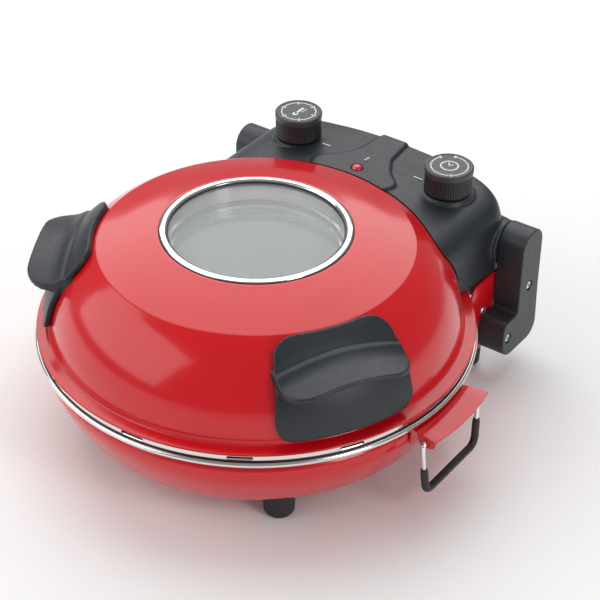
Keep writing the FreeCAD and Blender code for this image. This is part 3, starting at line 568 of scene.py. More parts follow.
def cross_head(radius, height):
    """A pan head with a sunk cross."""
    sides = 32
    arm = radius * 0.52
    half = radius * 0.13
    cross = [(half, half), (half, arm), (-half, arm), (-half, half), (-arm, half), (-arm, -half),
             (-half, -half), (-half, -arm), (half, -arm), (half, -half), (arm, -half), (arm, half)]
    turns = [2 * math.pi * corner / sides for corner in range(sides)]
    round_edge = [(math.cos(turn), math.sin(turn)) for turn in turns]
    rings = [(radius * 0.96, 0.0), (radius, 0.15), (radius, height * 0.45), (radius * 0.93, height * 0.75),
             (radius * 0.78, height * 0.93), (radius * 0.62, height)]
    points = [(size * x, size * y, level) for size, level in rings for x, y in round_edge]
    faces = grid_faces(len(rings), sides, False, True) + [tuple(range(sides))[::-1]]
    start = len(points)
    last = (len(rings) - 1) * sides
    for level in (height, height * 0.35):
        points += [(x, y, level) for x, y in cross]
    count = len(cross)
    # the flat between the round edge and the cross, one fan for each cross corner
    spokes = [Vector(point).normalized() for point in cross]
    owner = [min(range(count), key=lambda c: (spokes[c] - Vector(m)).length) for m in round_edge]
    for corner in range(sides):
        following = (corner + 1) % sides
        a, b = owner[corner], owner[following]
        if a == b:
            faces.append((last + corner, last + following, start + a))
        else:
            walk = [b]
            step = 1 if (b - a) % count > count / 2 else -1
            while walk[-1] != a:
                walk.append((walk[-1] + step) % count)
            faces.append((last + corner, last + following) + tuple(start + w for w in walk))
    for corner in range(count):
        following = (corner + 1) % count
        faces.append((start + corner, start + following, start + count + following, start + count + corner))
    faces.append(tuple(start + count + corner for corner in range(count)))
    return points, faces


def base_screws():
    """Three screws with spacers and nuts between the bowl and the steel pan, heads below."""
    shape = Mesh()
    floor = cad_box("base_shell")[0].z
    down = Matrix.Rotation(math.pi, 4, "X")
    inside = floor + SHEET
    outline = fillet([(0, floor), (2.0, floor), (2.0, inside), (4.5, inside), (4.5, -32.0), (2.0, -32.0),
                      (2.0, -31.0), (4.0, -31.0), (4.0, -28.6), (2.0, -28.6), (2.0, -27.0), (0, -27.0)], 0)
    for angle in (0, 120, 240):
        shape.add(*cross_head(5.0, 2.5), turned(angle) @ moved(0, -12.0, floor) @ down)
        shape.add(*lathe(outline, 32), turned(angle) @ moved(0, -12.0, 0))
    piece("pan_screws", shape, ZINC, "base", ["base_tie_screws"])


def foot(radius, top):
    """A rubber foot on the table, hollow for its screw."""
    outline = fillet([(3.9, TABLE), (radius - 3.2, TABLE), (radius - 0.6, TABLE + 3.4), (radius, top),
                      (2.2, top), (2.2, TABLE + 8.0), (3.9, TABLE + 8.0)],
                     [0.3, 2.2, 3.0, 0.6, 0.3, 0.3, 0.3])
    return lathe(outline, 64)


def feet():
    for name, node in (("front_foot_pads", "front_feet"), ("rear_foot_pads", "rear_feet")):
        low, high = cad_box(node)
        radius = min((high.y - low.y) / 2, 13.0)
        shape = Mesh()
        x, y = high.x - radius, (low.y + high.y) / 2
        for side in (-1, 1):
            shape.add(*foot(radius, high.z), moved(side * x, y, 0))
        piece(name, shape, RUBBER, "base", [node])


def soft_copy(name, node, bevel, material, body):
    """A CAD sheet-metal part with its edges broken, as after deburring and painting."""
    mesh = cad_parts[node].data.copy()
    obj = linked(name, mesh)
    bm = bmesh.new()
    bm.from_mesh(mesh)
    bmesh.ops.remove_doubles(bm, verts=bm.verts, dist=2e-6)
    bmesh.ops.dissolve_limit(bm, angle_limit=math.radians(0.6), verts=bm.verts, edges=bm.edges)
    bmesh.ops.recalc_face_normals(bm, faces=bm.faces)
    bm.to_mesh(mesh)
    bm.free()
    rounding = obj.modifiers.new("edge", "BEVEL")
    rounding.width = bevel * MM
    rounding.segments = 3
    rounding.limit_method = "ANGLE"
    rounding.angle_limit = math.radians(35)
    rounding.use_clamp_overlap = True
    bpy.context.view_layer.update()
    apply_modifiers(obj)
    clean(obj)
    return finish_piece(obj, material, body, [node], 30.0)


def rivet_head(radius, height):
    outline = [Vector((0, 0)), Vector((radius, 0))]
    for step in range(1, 8):
        turn = math.pi / 16 * step
        outline.append(Vector((radius * math.cos(turn), height * math.sin(turn))))
    return lathe(outline + [Vector((0, height))], 32)


def rivets():
    """Domed heads on the hinge brackets and the bail brackets."""
    shape = Mesh()
    for _, mirror in SIDES:
        for angle in (140.5, 149.0):
            shape.add(*rivet_head(3.6, 1.6), mirror @ outwards(angle) @ moved(0, -15.0, 175.8))
        for angle in (84.5, 95.5):
            shape.add(*rivet_head(3.4, 1.4), mirror @ outwards(angle) @ moved(0, -13.0, 175.5))
        shape.add(*rivet_head(3.4, 1.4), mirror @ moved(123.8, 155.3, -23.0) @ ALONG_X)
    piece("rivet_heads", shape, CHROME, "base", ["bracket_rivets"])


ARM_OUTLINE = [(168.9, 50.5), (201.3, 50.5), (201.9, -7.5), (204.9, -61.9), (147.7, -61.9), (148.3, -25.1),
               (170.1, -25.1)]
ARM_RADII = [15.5, 15.5, 30.0, 14.0, 16.0, 8.0, 3.0]
ARM_SCREWS = [(186.4, -4.3), (157.2, -42.8)]
WALL = 2.6            # thickness of the plastic covers


def arm_covers():
    low, high = cad_box("right_arm_cover")
    outline = fillet(ARM_OUTLINE, ARM_RADII, True, 12)[::-1]
    hollow = slab(offset(outline, WALL), low.x - 2.0, high.x - WALL, 0.8, 3, 0.0)
    well = fillet([(0, -3.0), (4.4, -3.0), (4.4, -0.7), (5.2, 0.0), (5.2, 1.0), (0, 1.0)],
                  [0, 0.3, 0.5, 0.5, 0, 0])
    post = fillet([(2.3, low.x + 3.4), (6.0, low.x + 3.4), (6.0, high.x - 2.9), (2.3, high.x - 2.9)], 0)
    for name, mirror in SIDES:
        place = mirror @ ALONG_X
        obj = new_object(name + "_arm", Mesh().add(*slab(outline, low.x, high.x, 1.0, 5, 0.5), place))
        cut(obj, Mesh().add(*hollow, place))
        for y, z in ARM_SCREWS:
            cut(obj, spun(well, 40, place @ moved(y, z, high.x)))
        for y, z in ARM_SCREWS:
            joined(obj, spun(post, 32, place @ moved(y, z, 0)))
        finish_piece(obj, LIT_ARM_PLASTIC, "base", [name + "_arm_cover"], 40.0)


def arm_screws():
    shape = Mesh()
    high = cad_box("right_arm_cover")[1]
    for _, mirror in SIDES:
        for y, z in ARM_SCREWS:
            place = mirror @ ALONG_X @ moved(y, z, high.x - 3.0) @ turned(20)
            shape.add(*cross_head(4.0, 2.2), place)
    piece("arm_screw_heads", shape, CHROME, "base", ["arm_screws"])


BAIL_X = 187.0
BAIL_Z = -9.5
LUG_Y = 34.0


def bail_line():
    """Half of the bail's centre line, from its hooked end to the middle of the grip."""
    bend_y = LUG_Y + 6.1
    corners = [(BAIL_X, LUG_Y - 3.0, BAIL_Z), (BAIL_X, bend_y, BAIL_Z), (BAIL_X + 0.6, bend_y, -19.0),
               (BAIL_X + 2.6, 36.0, -57.0), (BAIL_X + 2.6, -36.0, -57.0)]
    return fillet(corners, [0, 3.0, 12.0, 8.0, 0], False, 10)[:-1]


def bails():
    half = bail_line()
    path = half + [Vector((p.x, -p.y, p.z)) for p in half[::-1]]
    dense = []
    for a, b in zip(path, path[1:]):
        parts = max(1, int((b - a).length / 1.5))
        dense += [a.lerp(b, k / parts) for k in range(parts)]
    dense.append(path[-1])
    covered = [p for p in dense if p.z < -33.0]
    swell = []
    for index in range(len(covered)):
        near = min(index, len(covered) - 1 - index)
        swell.append(3.1 if near > 1 else 2.55 + 0.3 * near)
    for name, mirror in SIDES:
        body = name + "_bail"
        wire = Mesh().add(*sweep(dense, 1.8), mirror)
        piece(body, wire, CHROME, body, [body + "_wire"])
        sleeve = Mesh().add(*sweep(covered, swell, 24), mirror)
        piece(name + "_grip_sleeve", sleeve, SLEEVE, body, [body + "_sleeve"], 50.0)


# ---- lid -----------------------------------------------------------------------------------------

CROWN = [(77.2, 92.4), (102.0, 87.9), (127.0, 81.3)]
LID_SIDE = [(127.0, 81.3), (136.6, 74.6), (145.0, 66.7), (152.1, 58.0), (157.9, 48.8), (162.3, 39.0),
            (165.4, 28.6), (167.0, 19.5), (167.7, 12.6)]
DOME_LINE = smooth(LID_SIDE, 10)


def lid_dome():
    crown = smooth(CROWN, 8)
    side = smooth(LID_SIDE, 8)
    shoulder = fillet([crown[-4], Vector(CROWN[-1]), side[3]], [0, 9.0, 0], False, 8)
    foot_curve = fillet([(167.6, 14.0), (168.2, 10.9), (174.0, 10.25), (178.0, 9.7), (178.4, 8.5)],
                        [0, 1.6, 0, 0.7, 0], False, 6)
    lip = [Vector((77.2, 90.6)), Vector((77.2, 91.7)), Vector((77.35, 92.2)), Vector((77.9, 92.35))]
    path = lip + crown[1:-4] + shoulder + side[4:-2] + foot_curve
    round_piece("lid_dome", thickened(path, -SHEET), RED, "lid", "lid_shell", FINE)


def vented_band():
    """Lid liner: its wall, its rim, and the band with long oval air holes under the flange."""
    low, _ = cad_box("lid_pan")
    count, length, height = 13, 20.0, 3.2
    radius, top = 177.2, 8.6
    middle = low.z + 2.2
    half = length / 2 / radius
    end = height / 2 / radius
    thickness = 1.0
    first = math.radians(5.0)
    pitch = 2 * math.pi / count
    offsets = [half * math.sin(math.pi / 2 * step / 16) for step in range(-16, 17)]
    rest = [half + (pitch / 2 - half) * k / 10 for k in range(1, 10)]
    offsets = [-pitch / 2] + [-r for r in rest[::-1]] + offsets + rest
    columns = []
    for index in range(count):
        centre = first + pitch * index
        for step in offsets:
            over = abs(step) - (half - end)
            if abs(step) >= half - 1e-9:
                reach = 0.0
            elif over <= 0:
                reach = height / 2
            else:
                reach = height / 2 * math.sqrt(max(0.0, 1 - (over / end) ** 2))
            columns.append((centre + step, reach))
    rows = []
    for skin in (radius, radius - thickness):
        rows.append([(a, skin, low.z) for a, _ in columns])
        rows.append([(a, skin, middle - reach) for a, reach in columns])
        rows.append([(a, skin, middle + reach) for a, reach in columns])
        rows.append([(a, skin, top) for a, _ in columns])
    points = [(r * math.sin(a), -r * math.cos(a), z) for row in rows for a, r, z in row]
    total = len(columns)
    faces = []
    for column in range(total):
        following = (column + 1) % total
        strips = [(1, 0), (3, 2), (5, 4), (7, 6), (4, 0), (3, 7)]
        if columns[column][1] > 0 or columns[following][1] > 0:
            strips += [(5, 1), (6, 2)]      # the hole's lower and upper edge
        for upper, lower in strips:
            faces.append((lower * total + column, lower * total + following, upper * total + following,
                          upper * total + column))
    shape = Mesh().add(points, faces)
    wall = fillet([(176.6, low.z + 0.5), (166.4, low.z + 0.5), (152.4, 44.9)], [0, 1.2, 0], False)
    shape.add(*lathe(thickened(wall, -LINER)))
    piece("vented_band", shape, STEEL, "lid", ["lid_pan"], 30.0)


def reflector():
    """The shallow cone over the upper element."""
    low, _ = cad_box("heat_reflector")
    path = fillet([(154.2, low.z + 0.1), (88.0, 70.1), (67.0, 71.1)], [0, 6.0, 0], False)
    round_piece("reflector_dish", thickened(path, -LINER), STEEL, "lid", "heat_reflector")


def gasket_ring():
    low, high = cad_box("lid_gasket")
    outline = fillet([(171.0, low.z), (178.0, low.z), (178.0, high.z), (171.0, high.z)], 0.25)
    round_piece("rim_seal", outline, SEAL, "lid", "lid_gasket")


def window():
    ring = fillet([(71.0, 91.6), (76.4, 91.6), (76.4, 93.2), (74.6, 94.0), (72.2, 93.9), (70.9, 92.7)],
                  [0.2, 0.2, 0.7, 1.2, 1.0, 0.4])
    round_piece("window_trim", ring, CHROME, "lid", "window_ring")
    inner = fillet([(69.4, 91.1), (71.3, 91.1), (71.3, 92.5), (69.9, 92.3)], 0.3)
    outer = fillet([(75.6, 89.0), (77.15, 89.0), (77.15, 92.8), (76.45, 92.8), (76.45, 91.6), (75.6, 91.6)],
                   [0.2, 0.2, 0.3, 0.3, 0.1, 0.2])
    piece("window_seal", spun(inner).add(*lathe(outer)), SEAL, "lid", ["window_gasket"])
    disc_piece("window_pane", "window_glass", 0.5, GLASS, "lid")
    disc_piece("inner_pane", "inner_glass", 0.5, GLASS, "lid")
    tube = fillet([(70.4, 75.0), (71.4, 75.0), (71.4, 88.0), (70.4, 88.0)], 0.2)
    round_piece("window_tube", tube, STEEL, "lid", "window_spacer")
    clamp = fillet([(68.0, 69.0), (84.0, 68.2), (84.0, 69.2), (68.0, 70.0)], 0.3)
    round_piece("inner_window_clamp", clamp, STEEL, "lid", "inner_window_ring")


HANDLE_ANGLE = 61.0
HANDLE_HALF = math.radians(19.5)


def corner_loss(near, size):
    """How far a rounded corner pulls the side in, at this distance from the end."""
    if near >= size:
        return 0.0
    return size - math.sqrt(max(0.0, size * size - (size - near) ** 2))


def handle_plate():
    """The plate that follows the dome, in a local frame: x across, y out from the axis, z up."""
    line = [point for point in DOME_LINE if 14.6 < point.y < 80.4]
    lengths = [0.0]
    for a, b in zip(line, line[1:]):
        lengths.append(lengths[-1] + (b - a).length)
    rows, columns = 65, 61
    samples = []
    place = 0
    for row in range(rows):
        want = lengths[-1] * row / (rows - 1)
        while place < len(line) - 2 and lengths[place + 1] < want:
            place += 1
        share = (want - lengths[place]) / (lengths[place + 1] - lengths[place])
        along = (line[place + 1] - line[place]).normalized()
        samples.append((want, line[place].lerp(line[place + 1], share), Vector((-along.y, along.x))))
    points = []
    for gap in (5.3, 0.3):
        for want, spot, normal in samples:
            loss = corner_loss(want, 18.0) + corner_loss(lengths[-1] - want, 14.0)
            reach = HANDLE_HALF - loss / spot.x
            out, height = spot + normal * gap
            for column in range(columns):
                turn = reach * (2 * column / (columns - 1) - 1)
                points.append((out * math.sin(turn), out * math.cos(turn), height))
    return closed_skins(points, rows, columns)


def closed_skins(points, rows, columns):
    """Two facing grids of points, joined round their border."""
    total = rows * columns
    faces = grid_faces(rows, columns)
    faces += [tuple(total + corner for corner in face[::-1]) for face in faces]
    border = list(range(columns)) + [row * columns + columns - 1 for row in range(1, rows)]
    border += [(rows - 1) * columns + column for column in range(columns - 2, -1, -1)]
    border += [row * columns for row in range(rows - 2, 0, -1)]
    for index, corner in enumerate(border):
        following = border[(index + 1) % len(border)]
        faces.append((corner, following, total + following, total + corner))
    return points, faces


def visor():
    """The grip: an arched slab that stands out of the plate, thick at the root, thin at its round lip."""
    half, root, reach, corner = 52.0, 138.0, 179.0, 22.0
    columns, rows = 65, 28
    points = []
    for top in (True, False):
        for column in range(columns):
            across = half * math.sin(math.pi / 2 * (2 * column / (columns - 1) - 1))
            crest = 1 - (across / half) ** 2
            edge = reach - corner_loss(half - abs(across), corner)
            for row in range(rows):
                out = root + (edge - root) * math.sin(math.pi / 2 * row / (rows - 1))
                fall = (out - root) / (reach - root)
                blend = 3.5 * min(1.0, max(0.0, 1 - (out - 149.0) / 12.0)) ** 2
                upper = 61.5 + 9.5 * crest - 4.7 * fall
                lower = upper - 8.5 + 4.5 * fall
                points.append((across, out, upper + blend if top else lower - 0.6 * blend))
    return closed_skins(points, columns, rows)


def handles():
    turn = math.radians(HANDLE_ANGLE)
    place = Matrix(((math.cos(turn), math.sin(turn), 0, 0), (math.sin(turn), -math.cos(turn), 0, 0),
                    (0, 0, 1, 0), (0, 0, 0, 1)))
    for name, mirror in SIDES:
        shape = Mesh().add(*handle_plate(), mirror @ place).add(*visor(), mirror @ place)
        obj = new_object(name + "_lid_handle", shape)
        remeshed(obj, 0.85, 7)
        finish_piece(obj, ANTHRACITE, "lid", [name + "_handle"], 80.0)


# ---- control housing -----------------------------------------------------------------------------

HALF = 120.8
FRONT, BACK = 90.0, 203.0
KNOB_X, KNOB_Y, KNOB_R = 76.3, 164.0, 20.4
KNOB_LOW, KNOB_HIGH = 76.0, 98.4
KNOB_SEAT = KNOB_HIGH - 5.5      # the cap sits here on the ribbed skirt
KNOB_DISH = 0.4                  # how far the cap's face lies below its edge
HINGE_Y, HINGE_Z = 184.0, 30.7
SECTION = [(HALF, 1.0), (HALF, 20.0), (HALF, 38.0), (HALF - 0.9, 50.0), (HALF - 5.5, 61.0),
           (HALF - 14.0, 67.2), (HALF - 27.5, 71.4), (HALF - 50.5, 74.2), (41.0, 76.7), (0.0, 78.2)]
FRONT_PLAN = fillet([(0.0, 112.0), (60.0, 108.0), (112.0, 90.0), (HALF, 97.0), (HALF, BACK + 5.0)],
                    [0, 60.0, 8.0, 6.0, 0], False, 10)
LUG = fillet([(138.5, 6.0), (138.5, 1.0), (145.5, -7.3), (161.5, -6.0), (166.5, 1.0), (166.5, 6.0)],
             [0, 3.0, 5.0, 5.0, 3.0, 0])


def roof_height(x):
    line = smooth(SECTION[2:] + [(-41.0, 76.7)], 6)[:-6]
    x = abs(x)
    for a, b in zip(line, line[1:]):
        if b.x <= x <= a.x:
            return a.y + (b.y - a.y) * (a.x - x) / max(a.x - b.x, 1e-6)
    return line[-1].y if x < 1 else line[0].y


def lid_space():
    """Everything inside the lid's outer face and under its rim, grown by the housing's small gap."""
    line = DOME_LINE[::-1]
    side = []
    for before, spot, after in zip(line, line[1:], line[2:]):
        along = (after - before).normalized()
        side.append(spot + Vector((along.y, -along.x)) * 0.8)
    crown = [Vector((r, z + 0.85)) for r, z in CROWN[1::-1]]
    outline = [Vector((0, -30)), Vector((181.6, -30)), Vector((181.6, 12.0)), Vector((side[0].x, 12.6))]
    return spun(outline + side + crown + [Vector((0, 96))], FINE)


def housing_half(y):
    corner = 30.0
    if y <= BACK - corner:
        return HALF
    over = min(y - (BACK - corner), corner)
    return HALF - corner + math.sqrt(max(0.0, corner ** 2 - over ** 2))


def housing_block():
    """A closed block with an arched roof and rounded corners; its front runs into the lid."""
    arch = smooth(SECTION, 5)
    line = arch + [Vector((-p.x, p.y)) for p in arch[-2::-1]]
    rows = 46
    round_back = 3.5
    points = []
    for x, z in line:
        for row in range(rows):
            share = row / (rows - 1)
            y = FRONT + (BACK - FRONT) * math.sin(math.pi / 2 * share)
            squeeze = housing_half(y) / HALF
            over = y - (BACK - round_back)
            drop = round_back - math.sqrt(max(0.0, round_back ** 2 - over ** 2)) if over > 0 else 0.0
            lean = min(1.0, max(0.0, (z - 40.0) / 30.0))
            scale = squeeze - drop / HALF * (1 - lean)
            points.append((x * scale, y, z - drop * lean))
    faces = grid_faces(len(line), rows)
    count = len(line)
    # the front, the back and the floor close the block
    for column in (0, rows - 1):
        for index in range(count // 2):
            other = count - 1 - index
            strip = (index * rows + column, (index + 1) * rows + column, (other - 1) * rows + column,
                     other * rows + column)
            faces.append(strip if column else strip[::-1])
    last = (count - 1) * rows
    for row in range(rows - 1):
        faces.append((row, row + 1, last + row + 1, last + row))
    return points, faces


PANEL = [(13.5, BACK + 3.0), (17.5, 170.0), (27.0, 154.0), (43.5, 139.0), (33.0, 116.0)]
PANEL_RISE = 2.6


def raised_panel():
    """The bell-shaped rise in the middle that carries the pilot lamp."""
    right = fillet(PANEL, [0, 14.0, 30.0, 9.0, 0], False, 10)
    outline = [Vector((-p.x, p.y)) for p in right] + right[::-1]
    rings = []
    for gap, lift in ((0.0, -6.0), (0.0, -0.6), (0.5, 0.9), (1.4, 1.9), (2.6, 2.4), (4.0, PANEL_RISE)):
        furthest = BACK - 1.0 - 0.4 * gap
        rings.append([(p.x, min(p.y, furthest), roof_height(p.x) + lift) for p in offset(outline, gap)])
    points = [point for ring in rings for point in ring]
    count = len(outline)
    faces = grid_faces(len(rings), count, False, True)
    # the top is filled by strips from side to side
    last = (len(rings) - 1) * count
    for index in range(count // 2 - 1):
        faces.append((last + index, last + index + 1, last + count - 2 - index, last + count - 1 - index))
        faces.append((index, count - 1 - index, count - 2 - index, index + 1))
    return points, faces


def housing():
    obj = new_object("control_housing", Mesh().add(*housing_block()))
    plan = FRONT_PLAN + [Vector((-p.x, p.y)) for p in FRONT_PLAN[:0:-1]]
    cut(obj, Mesh().add(*slab(plan, -5.0, 95.0, 0.0)), "INTERSECT")
    shape = Mesh().add(*raised_panel())
    collar = fillet([(0, 62.0), (KNOB_R + 2.6, 62.0), (KNOB_R + 2.0, 73.0), (KNOB_R + 1.2, 75.4), (0, 75.4)],
                    [0, 0, 1.5, 0.8, 0])
    boss = fillet([(0, 96.0), (21.5, 96.0), (20.0, 116.0), (19.3, 121.0), (19.3, 124.8), (0, 124.8)],
                  [0, 0, 6.0, 3.0, 0.6, 0])
    hinge = moved(0, HINGE_Y, HINGE_Z) @ ALONG_X
    for _, mirror in SIDES:
        shape.add(*lathe(collar, 96), mirror @ moved(KNOB_X, KNOB_Y, 0))
        shape.add(*lathe(boss, 96), mirror @ hinge)
        shape.add(*slab(LUG, HALF - WALL, HALF, 0.4), mirror @ ALONG_X)
    joined(obj, shape)
    remeshed(obj, 1.0, 5)
    cut(obj, lid_space())
    under = fillet([(-107.5, 90.0), (107.5, 90.0), (107.5, 215.0), (-107.5, 215.0)], 3.0)
    cut(obj, Mesh().add(*slab(under, -10.0, 14.0, 0.0)))
    lamp_low, lamp_high = cad_box("pilot_lamp_lens")
    dish = fillet([(0, 60.0), (5.0, 60.0), (5.0, 78.8), (8.2, 81.0), (8.2, 90.0), (0, 90.0)],
                  [0, 0, 0.4, 1.0, 0, 0])
    cut(obj, spun(dish, 64, moved(0, (lamp_low.y + lamp_high.y) / 2, 0)))
    bore = fillet([(0, 100.8), (8.1, 100.8), (8.1, 127.0), (0, 127.0)], 0)
    for _, mirror in SIDES:
        cut(obj, spun(bore, 48, mirror @ hinge))
    gland_low, gland_high = cad_box("cord_gland")
    gland = moved((gland_low.x + gland_high.x) / 2, 0, (gland_low.z + gland_high.z) / 2) @ ALONG_Y
    gland_hole = fillet([(0, BACK - 11.0), (6.2, BACK - 11.0), (6.2, BACK + 4.0), (0, BACK + 4.0)], 0)
    cut(obj, spun(gland_hole, 48, gland))
    clean(obj)
    finish_piece(obj, ANTHRACITE, "lid", ["housing_shell", "centre_panel"], 50.0)

    bush = fillet([(3.6, gland_low.y), (6.0, gland_low.y), (6.0, BACK), (8.0, BACK), (8.0, BACK + 2.0),
                   (6.0, BACK + 2.0), (5.6, gland_high.y), (3.6, gland_high.y)],
                  [0, 0, 0.2, 0.3, 0.8, 0.3, 0.4, 0.4])
    round_piece("cord_bush", bush, BLACK_PLASTIC, "lid", "cord_gland", 48, gland)


def pilot_lamp():
    low, high = cad_box("pilot_lamp_lens")
    radius = high.x
    base = high.z - 3.6
    outline = [Vector((0, low.z)), Vector((radius, low.z)), Vector((radius, base))]
    for step in range(1, 10):
        turn = math.pi / 2 * step / 10
        outline.append(Vector((radius * math.cos(turn), base + 3.4 * math.sin(turn))))
    outline.append(Vector((0, base + 3.4)))
    round_piece("pilot_lens", outline, LENS, "lid", "pilot_lamp_lens", 64,
                moved(0, (low.y + high.y) / 2, 0))


# ---- knobs ---------------------------------------------------------------------------------------

def knob_grip():
    """The ribbed skirt: fine upright ribs, and a plain foot."""
    ribs, per = 60, 6
    levels = [(KNOB_LOW, -3.0, 0), (KNOB_LOW, -0.8, 0), (KNOB_LOW + 0.5, -0.35, 0),
              (KNOB_LOW + 1.6, -0.35, 0), (KNOB_LOW + 2.2, -0.9, 1), (KNOB_SEAT - 0.8, -0.9, 1),
              (KNOB_SEAT - 0.3, -0.8, 0), (KNOB_SEAT + 0.6, -2.0, 0)]
    count = ribs * per
    points = []
    for level, gap, ribbed in levels:
        for index in range(count):
            turn = 2 * math.pi * index / count
            wave = 0.42 * (1 - math.cos(2 * math.pi * index / per)) / 2 * ribbed
            radius = KNOB_R + gap + wave
            points.append((radius * math.cos(turn), radius * math.sin(turn), level))
    return points, tube_faces(len(levels), count)


def knob_cap():
    face = KNOB_HIGH - KNOB_DISH
    outline = fillet([(0, KNOB_SEAT), (KNOB_R - 0.2, KNOB_SEAT), (KNOB_R, KNOB_SEAT + 0.8),
                      (KNOB_R, KNOB_HIGH - 0.9), (KNOB_R - 1.1, KNOB_HIGH), (KNOB_R - 2.2, KNOB_HIGH),
                      (KNOB_R - 2.6, face), (0, face)], [0, 0.2, 0.3, 0.6, 0.6, 0.2, 0.2, 0])
    return lathe(outline, 128)


INK_LOW, INK_HIGH = -0.05, 0.06      # a print's sides, below and above the surface that carries it
DIAL_TURN = 36.65     # the dials stand with their tops this far round from the back


def stroke(shape, path, width, place, closed=False):
    """A printed line of this width along a flat path."""
    path = [Vector(p) for p in path]
    count = len(path)
    rows = []
    for index, point in enumerate(path):
        before = path[index - 1] if closed or index else point
        after = path[(index + 1) % count] if closed or index < count - 1 else point
        along = (after - before).normalized()
        side = Vector((-along.y, along.x)) * (width / 2)
        a, b = point + side, point - side
        rows += [(a.x, a.y, INK_LOW), (a.x, a.y, INK_HIGH), (b.x, b.y, INK_HIGH), (b.x, b.y, INK_LOW)]
    faces = grid_faces(count, 4, closed, True)
    if not closed:
        last = (count - 1) * 4
        faces += [(3, 2, 1, 0), (last, last + 1, last + 2, last + 3)]
    shape.add(rows, faces, place)


def arc(radius, start, end, steps=48, centre=(0, 0)):
    """Points along an arc, in degrees clockwise from the top of the dial."""
    result = []
    for step in range(steps + 1):
        turn = math.radians(start + (end - start) * step / steps)
        result.append((centre[0] + radius * math.sin(turn), centre[1] + radius * math.cos(turn)))
    return result


def dot(shape, radius, centre, place):
    points = arc(radius, 0, 360, 20, centre)[:-1]
    rows = [(x, y, INK_HIGH) for x, y in points] + [(x, y, INK_LOW) for x, y in points]
    count = len(points)
    faces = [tuple(range(count)), tuple(range(2 * count - 1, count - 1, -1))]
    faces += grid_faces(2, count, False, True)
    shape.add(rows, faces, place)


def thermometer(shape, size, place):
    """A plain thermometer sign: bulb, stem and three marks."""
    dot(shape, 0.30 * size, (0, -0.62 * size), place)
    stroke(shape, [(0, -0.62 * size), (0, 0.85 * size)], 0.24 * size, place)
    for height in (0.15, 0.45, 0.75):
        stroke(shape, [(0.26 * size, height * size), (0.50 * size, height * size)], 0.10 * size, place)


def ticks(shape, count, start, end, width, place):
    """Ticks all round a dial, from one radius to another."""
    for index in range(count):
        turn = math.radians(360 / count * index)
        direction = Vector((math.sin(turn), math.cos(turn)))
        stroke(shape, [direction * start, direction * end], width, place)


def heat_dial(place):
    """A ring with six ticks round a thermometer."""
    shape = Mesh()
    stroke(shape, arc(14.8, 0, 360, 72)[:-1], 0.9, place, True)
    ticks(shape, 6, 12.4, 16.6, 1.3, place)
    thermometer(shape, 8.4, place @ turned(-DIAL_TURN))
    return shape


def minute_dial(place):
    """An open ring with dots round a small clock."""
    shape = Mesh()
    stroke(shape, arc(15.4, 25, 335, 90), 0.9, place)
    for index in range(7):
        turn = math.radians(25 + 51.6 * index)
        dot(shape, 1.2 if index % 3 else 1.7, (15.4 * math.sin(turn), 15.4 * math.cos(turn)), place)
    stroke(shape, arc(7.3, 0, 360, 60)[:-1], 1.1, place, True)
    ticks(shape, 12, 5.7, 6.7, 0.40, place)
    stroke(shape, [(0, 0), (0, 4.8)], 1.1, place)
    stroke(shape, [(0, 0), (3.3, 1.6)], 1.1, place)
    dot(shape, 0.9, (0, 0), place)
    return shape


def knobs():
    for side, name, dial, body in ((1, "timer", minute_dial, "timer_dial"),
                                   (-1, "thermostat", heat_dial, "thermostat_dial")):
        place = moved(side * KNOB_X, KNOB_Y, 0)
        piece(name + "_grip", Mesh().add(*knob_grip(), place), BLACK_PLASTIC, body,
              [name + "_knob"], 60.0)
        piece(name + "_cap", Mesh().add(*knob_cap(), place), CAP_PLASTIC, body,
              [name + "_knob_cap"])
        face = place @ moved(0, 0, KNOB_HIGH - KNOB_DISH)
        piece(name + "_dial_print", dial(face @ turned(DIAL_TURN)), INK, body)


def housing_marks():
    """The white pointers beside the knobs and the sign by the lamp."""
    shape = Mesh()
    for start, end in (((-49.0, 161.6), (-41.0, 161.9)), ((43.6, 162.6), (52.4, 162.0))):
        nearest = min(abs(start[0]), abs(end[0]))
        stroke(shape, [start, end], 1.1, moved(0, 0, roof_height(nearest) + 0.15))
    thermometer(shape, 3.4, moved(0.0, 157.0, roof_height(0) + (PANEL_RISE + 0.05)))
    piece("housing_print", shape, INK, "lid")


# ---- CAD nodes that stay ---------------------------------------------------------------------------

KEPT = {
    ZINC: ["foot_screws", "handle_screws", "housing_screws", "lower_element_clips", "upper_element_clips",
           "right_arm_core", "left_arm_core", "right_hinge_pin", "left_hinge_pin", "timer_shaft",
           "thermostat_shaft"],
    BLACK_PLASTIC: ["timer_body", "thermostat_body", "pilot_lamp_body"],
    ANTHRACITE: ["housing_base"],
    NYLON: ["hinge_bushes"],
    CERAMIC: ["terminal_block"],
    FIBRE: ["base_insulation"],
}


def dress_cad_nodes():
    for finish, names in KEPT.items():
        for name in names:
            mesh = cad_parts[name].data
            mesh.materials.clear()
            mesh.materials.append(finish)


# ---- stage ---------------------------------------------------------------------------------------

def softbox(name, spot, target, width, height, power):
    light = bpy.data.lights.new(name, "AREA")
    light.shape = "RECTANGLE"
    light.size = width
    light.size_y = height
    light.energy = power
    obj = linked(name, light)
    obj.location = spot
    obj.rotation_mode = "QUATERNION"
    obj.rotation_quaternion = (Vector(target) - Vector(spot)).to_track_quat("-Z", "Y")


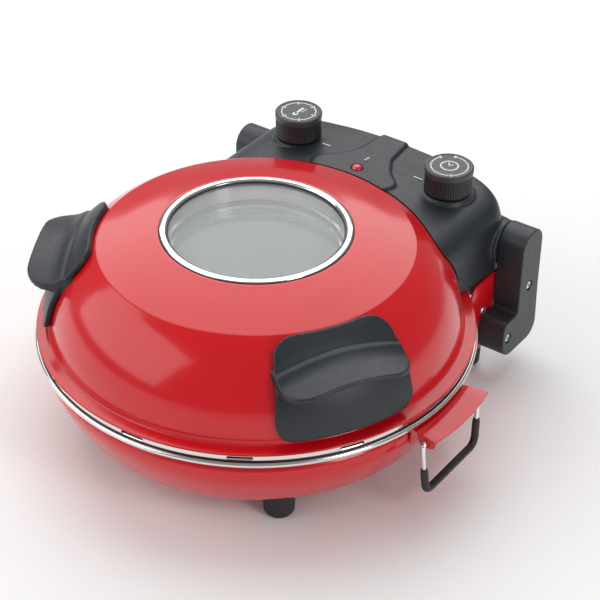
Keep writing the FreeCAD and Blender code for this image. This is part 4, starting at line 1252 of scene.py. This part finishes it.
def studio():
    scene = bpy.context.scene
    scene.view_settings.view_transform = "Standard"
    world = bpy.data.worlds.new("studio")
    scene.world = world
    world.use_nodes = True
    world.node_tree.nodes["Background"].inputs["Color"].default_value = (1.0, 1.0, 1.0, 1.0)
    world.node_tree.nodes["Background"].inputs["Strength"].default_value = 0.27
    floor_mesh = bpy.data.meshes.new("floor")
    size = 6.0
    floor_mesh.from_pydata([(-size, -size, 0), (size, -size, 0), (size, size, 0), (-size, size, 0)], [],
                           [(0, 1, 2, 3)])
    floor = linked("floor", floor_mesh)
    floor.location.z = -0.0002
    paper = material("floor_paper", (0.93, 0.93, 0.93), 0.9)
    vary(paper, "Base Color", noise(paper, 3.0), (0.92, 0.92, 0.92), (0.94, 0.94, 0.94))
    floor_mesh.materials.append(paper)
    middle = (0, 0, 0.1)
    softbox("overhead", (-0.7, 0.9, 1.7), middle, 2.6, 2.6, 40)
    softbox("front", (-1.3, -1.3, 1.1), middle, 2.6, 1.6, 23)
    softbox("side", (1.7, -0.3, 0.9), middle, 0.5, 1.3, 11)


def camera():
    """The view's angles, distance and framing."""
    azimuth, elevation, distance = math.radians(36.65), math.radians(36.01), 1.4705
    target = at((0, 0, 0))
    back = Vector((math.sin(azimuth) * math.cos(elevation), -math.cos(azimuth) * math.cos(elevation),
                   math.sin(elevation)))
    data = bpy.data.cameras.new("camera")
    data.lens = 108
    data.sensor_width = 36
    data.shift_x = 0.0728
    data.shift_y = 0.0390
    obj = linked("camera", data)
    obj.location = target + back * distance
    obj.rotation_mode = "QUATERNION"
    obj.rotation_quaternion = (-back).to_track_quat("-Z", "Y")
    bpy.context.scene.camera = obj


camera()
studio()
bowl_shell()
bowl_pan()
disc_piece("pizza_stone", "baking_stone", 1.6, STONE, "base")
heating_loop("lower_heater", "lower_element", "base")
heating_loop("upper_heater", "upper_element", "lid")
base_screws()
feet()
for hand, _ in SIDES:
    soft_copy(hand + "_hinge_plate", hand + "_hinge_bracket", 0.35, RED, "base")
    soft_copy(hand + "_bail_plate", hand + "_bail_bracket", 0.35, RED, "base")
rivets()
arm_covers()
arm_screws()
bails()
lid_dome()
vented_band()
reflector()
gasket_ring()
window()
handles()
housing()
pilot_lamp()
knobs()
housing_marks()
dress_cad_nodes()
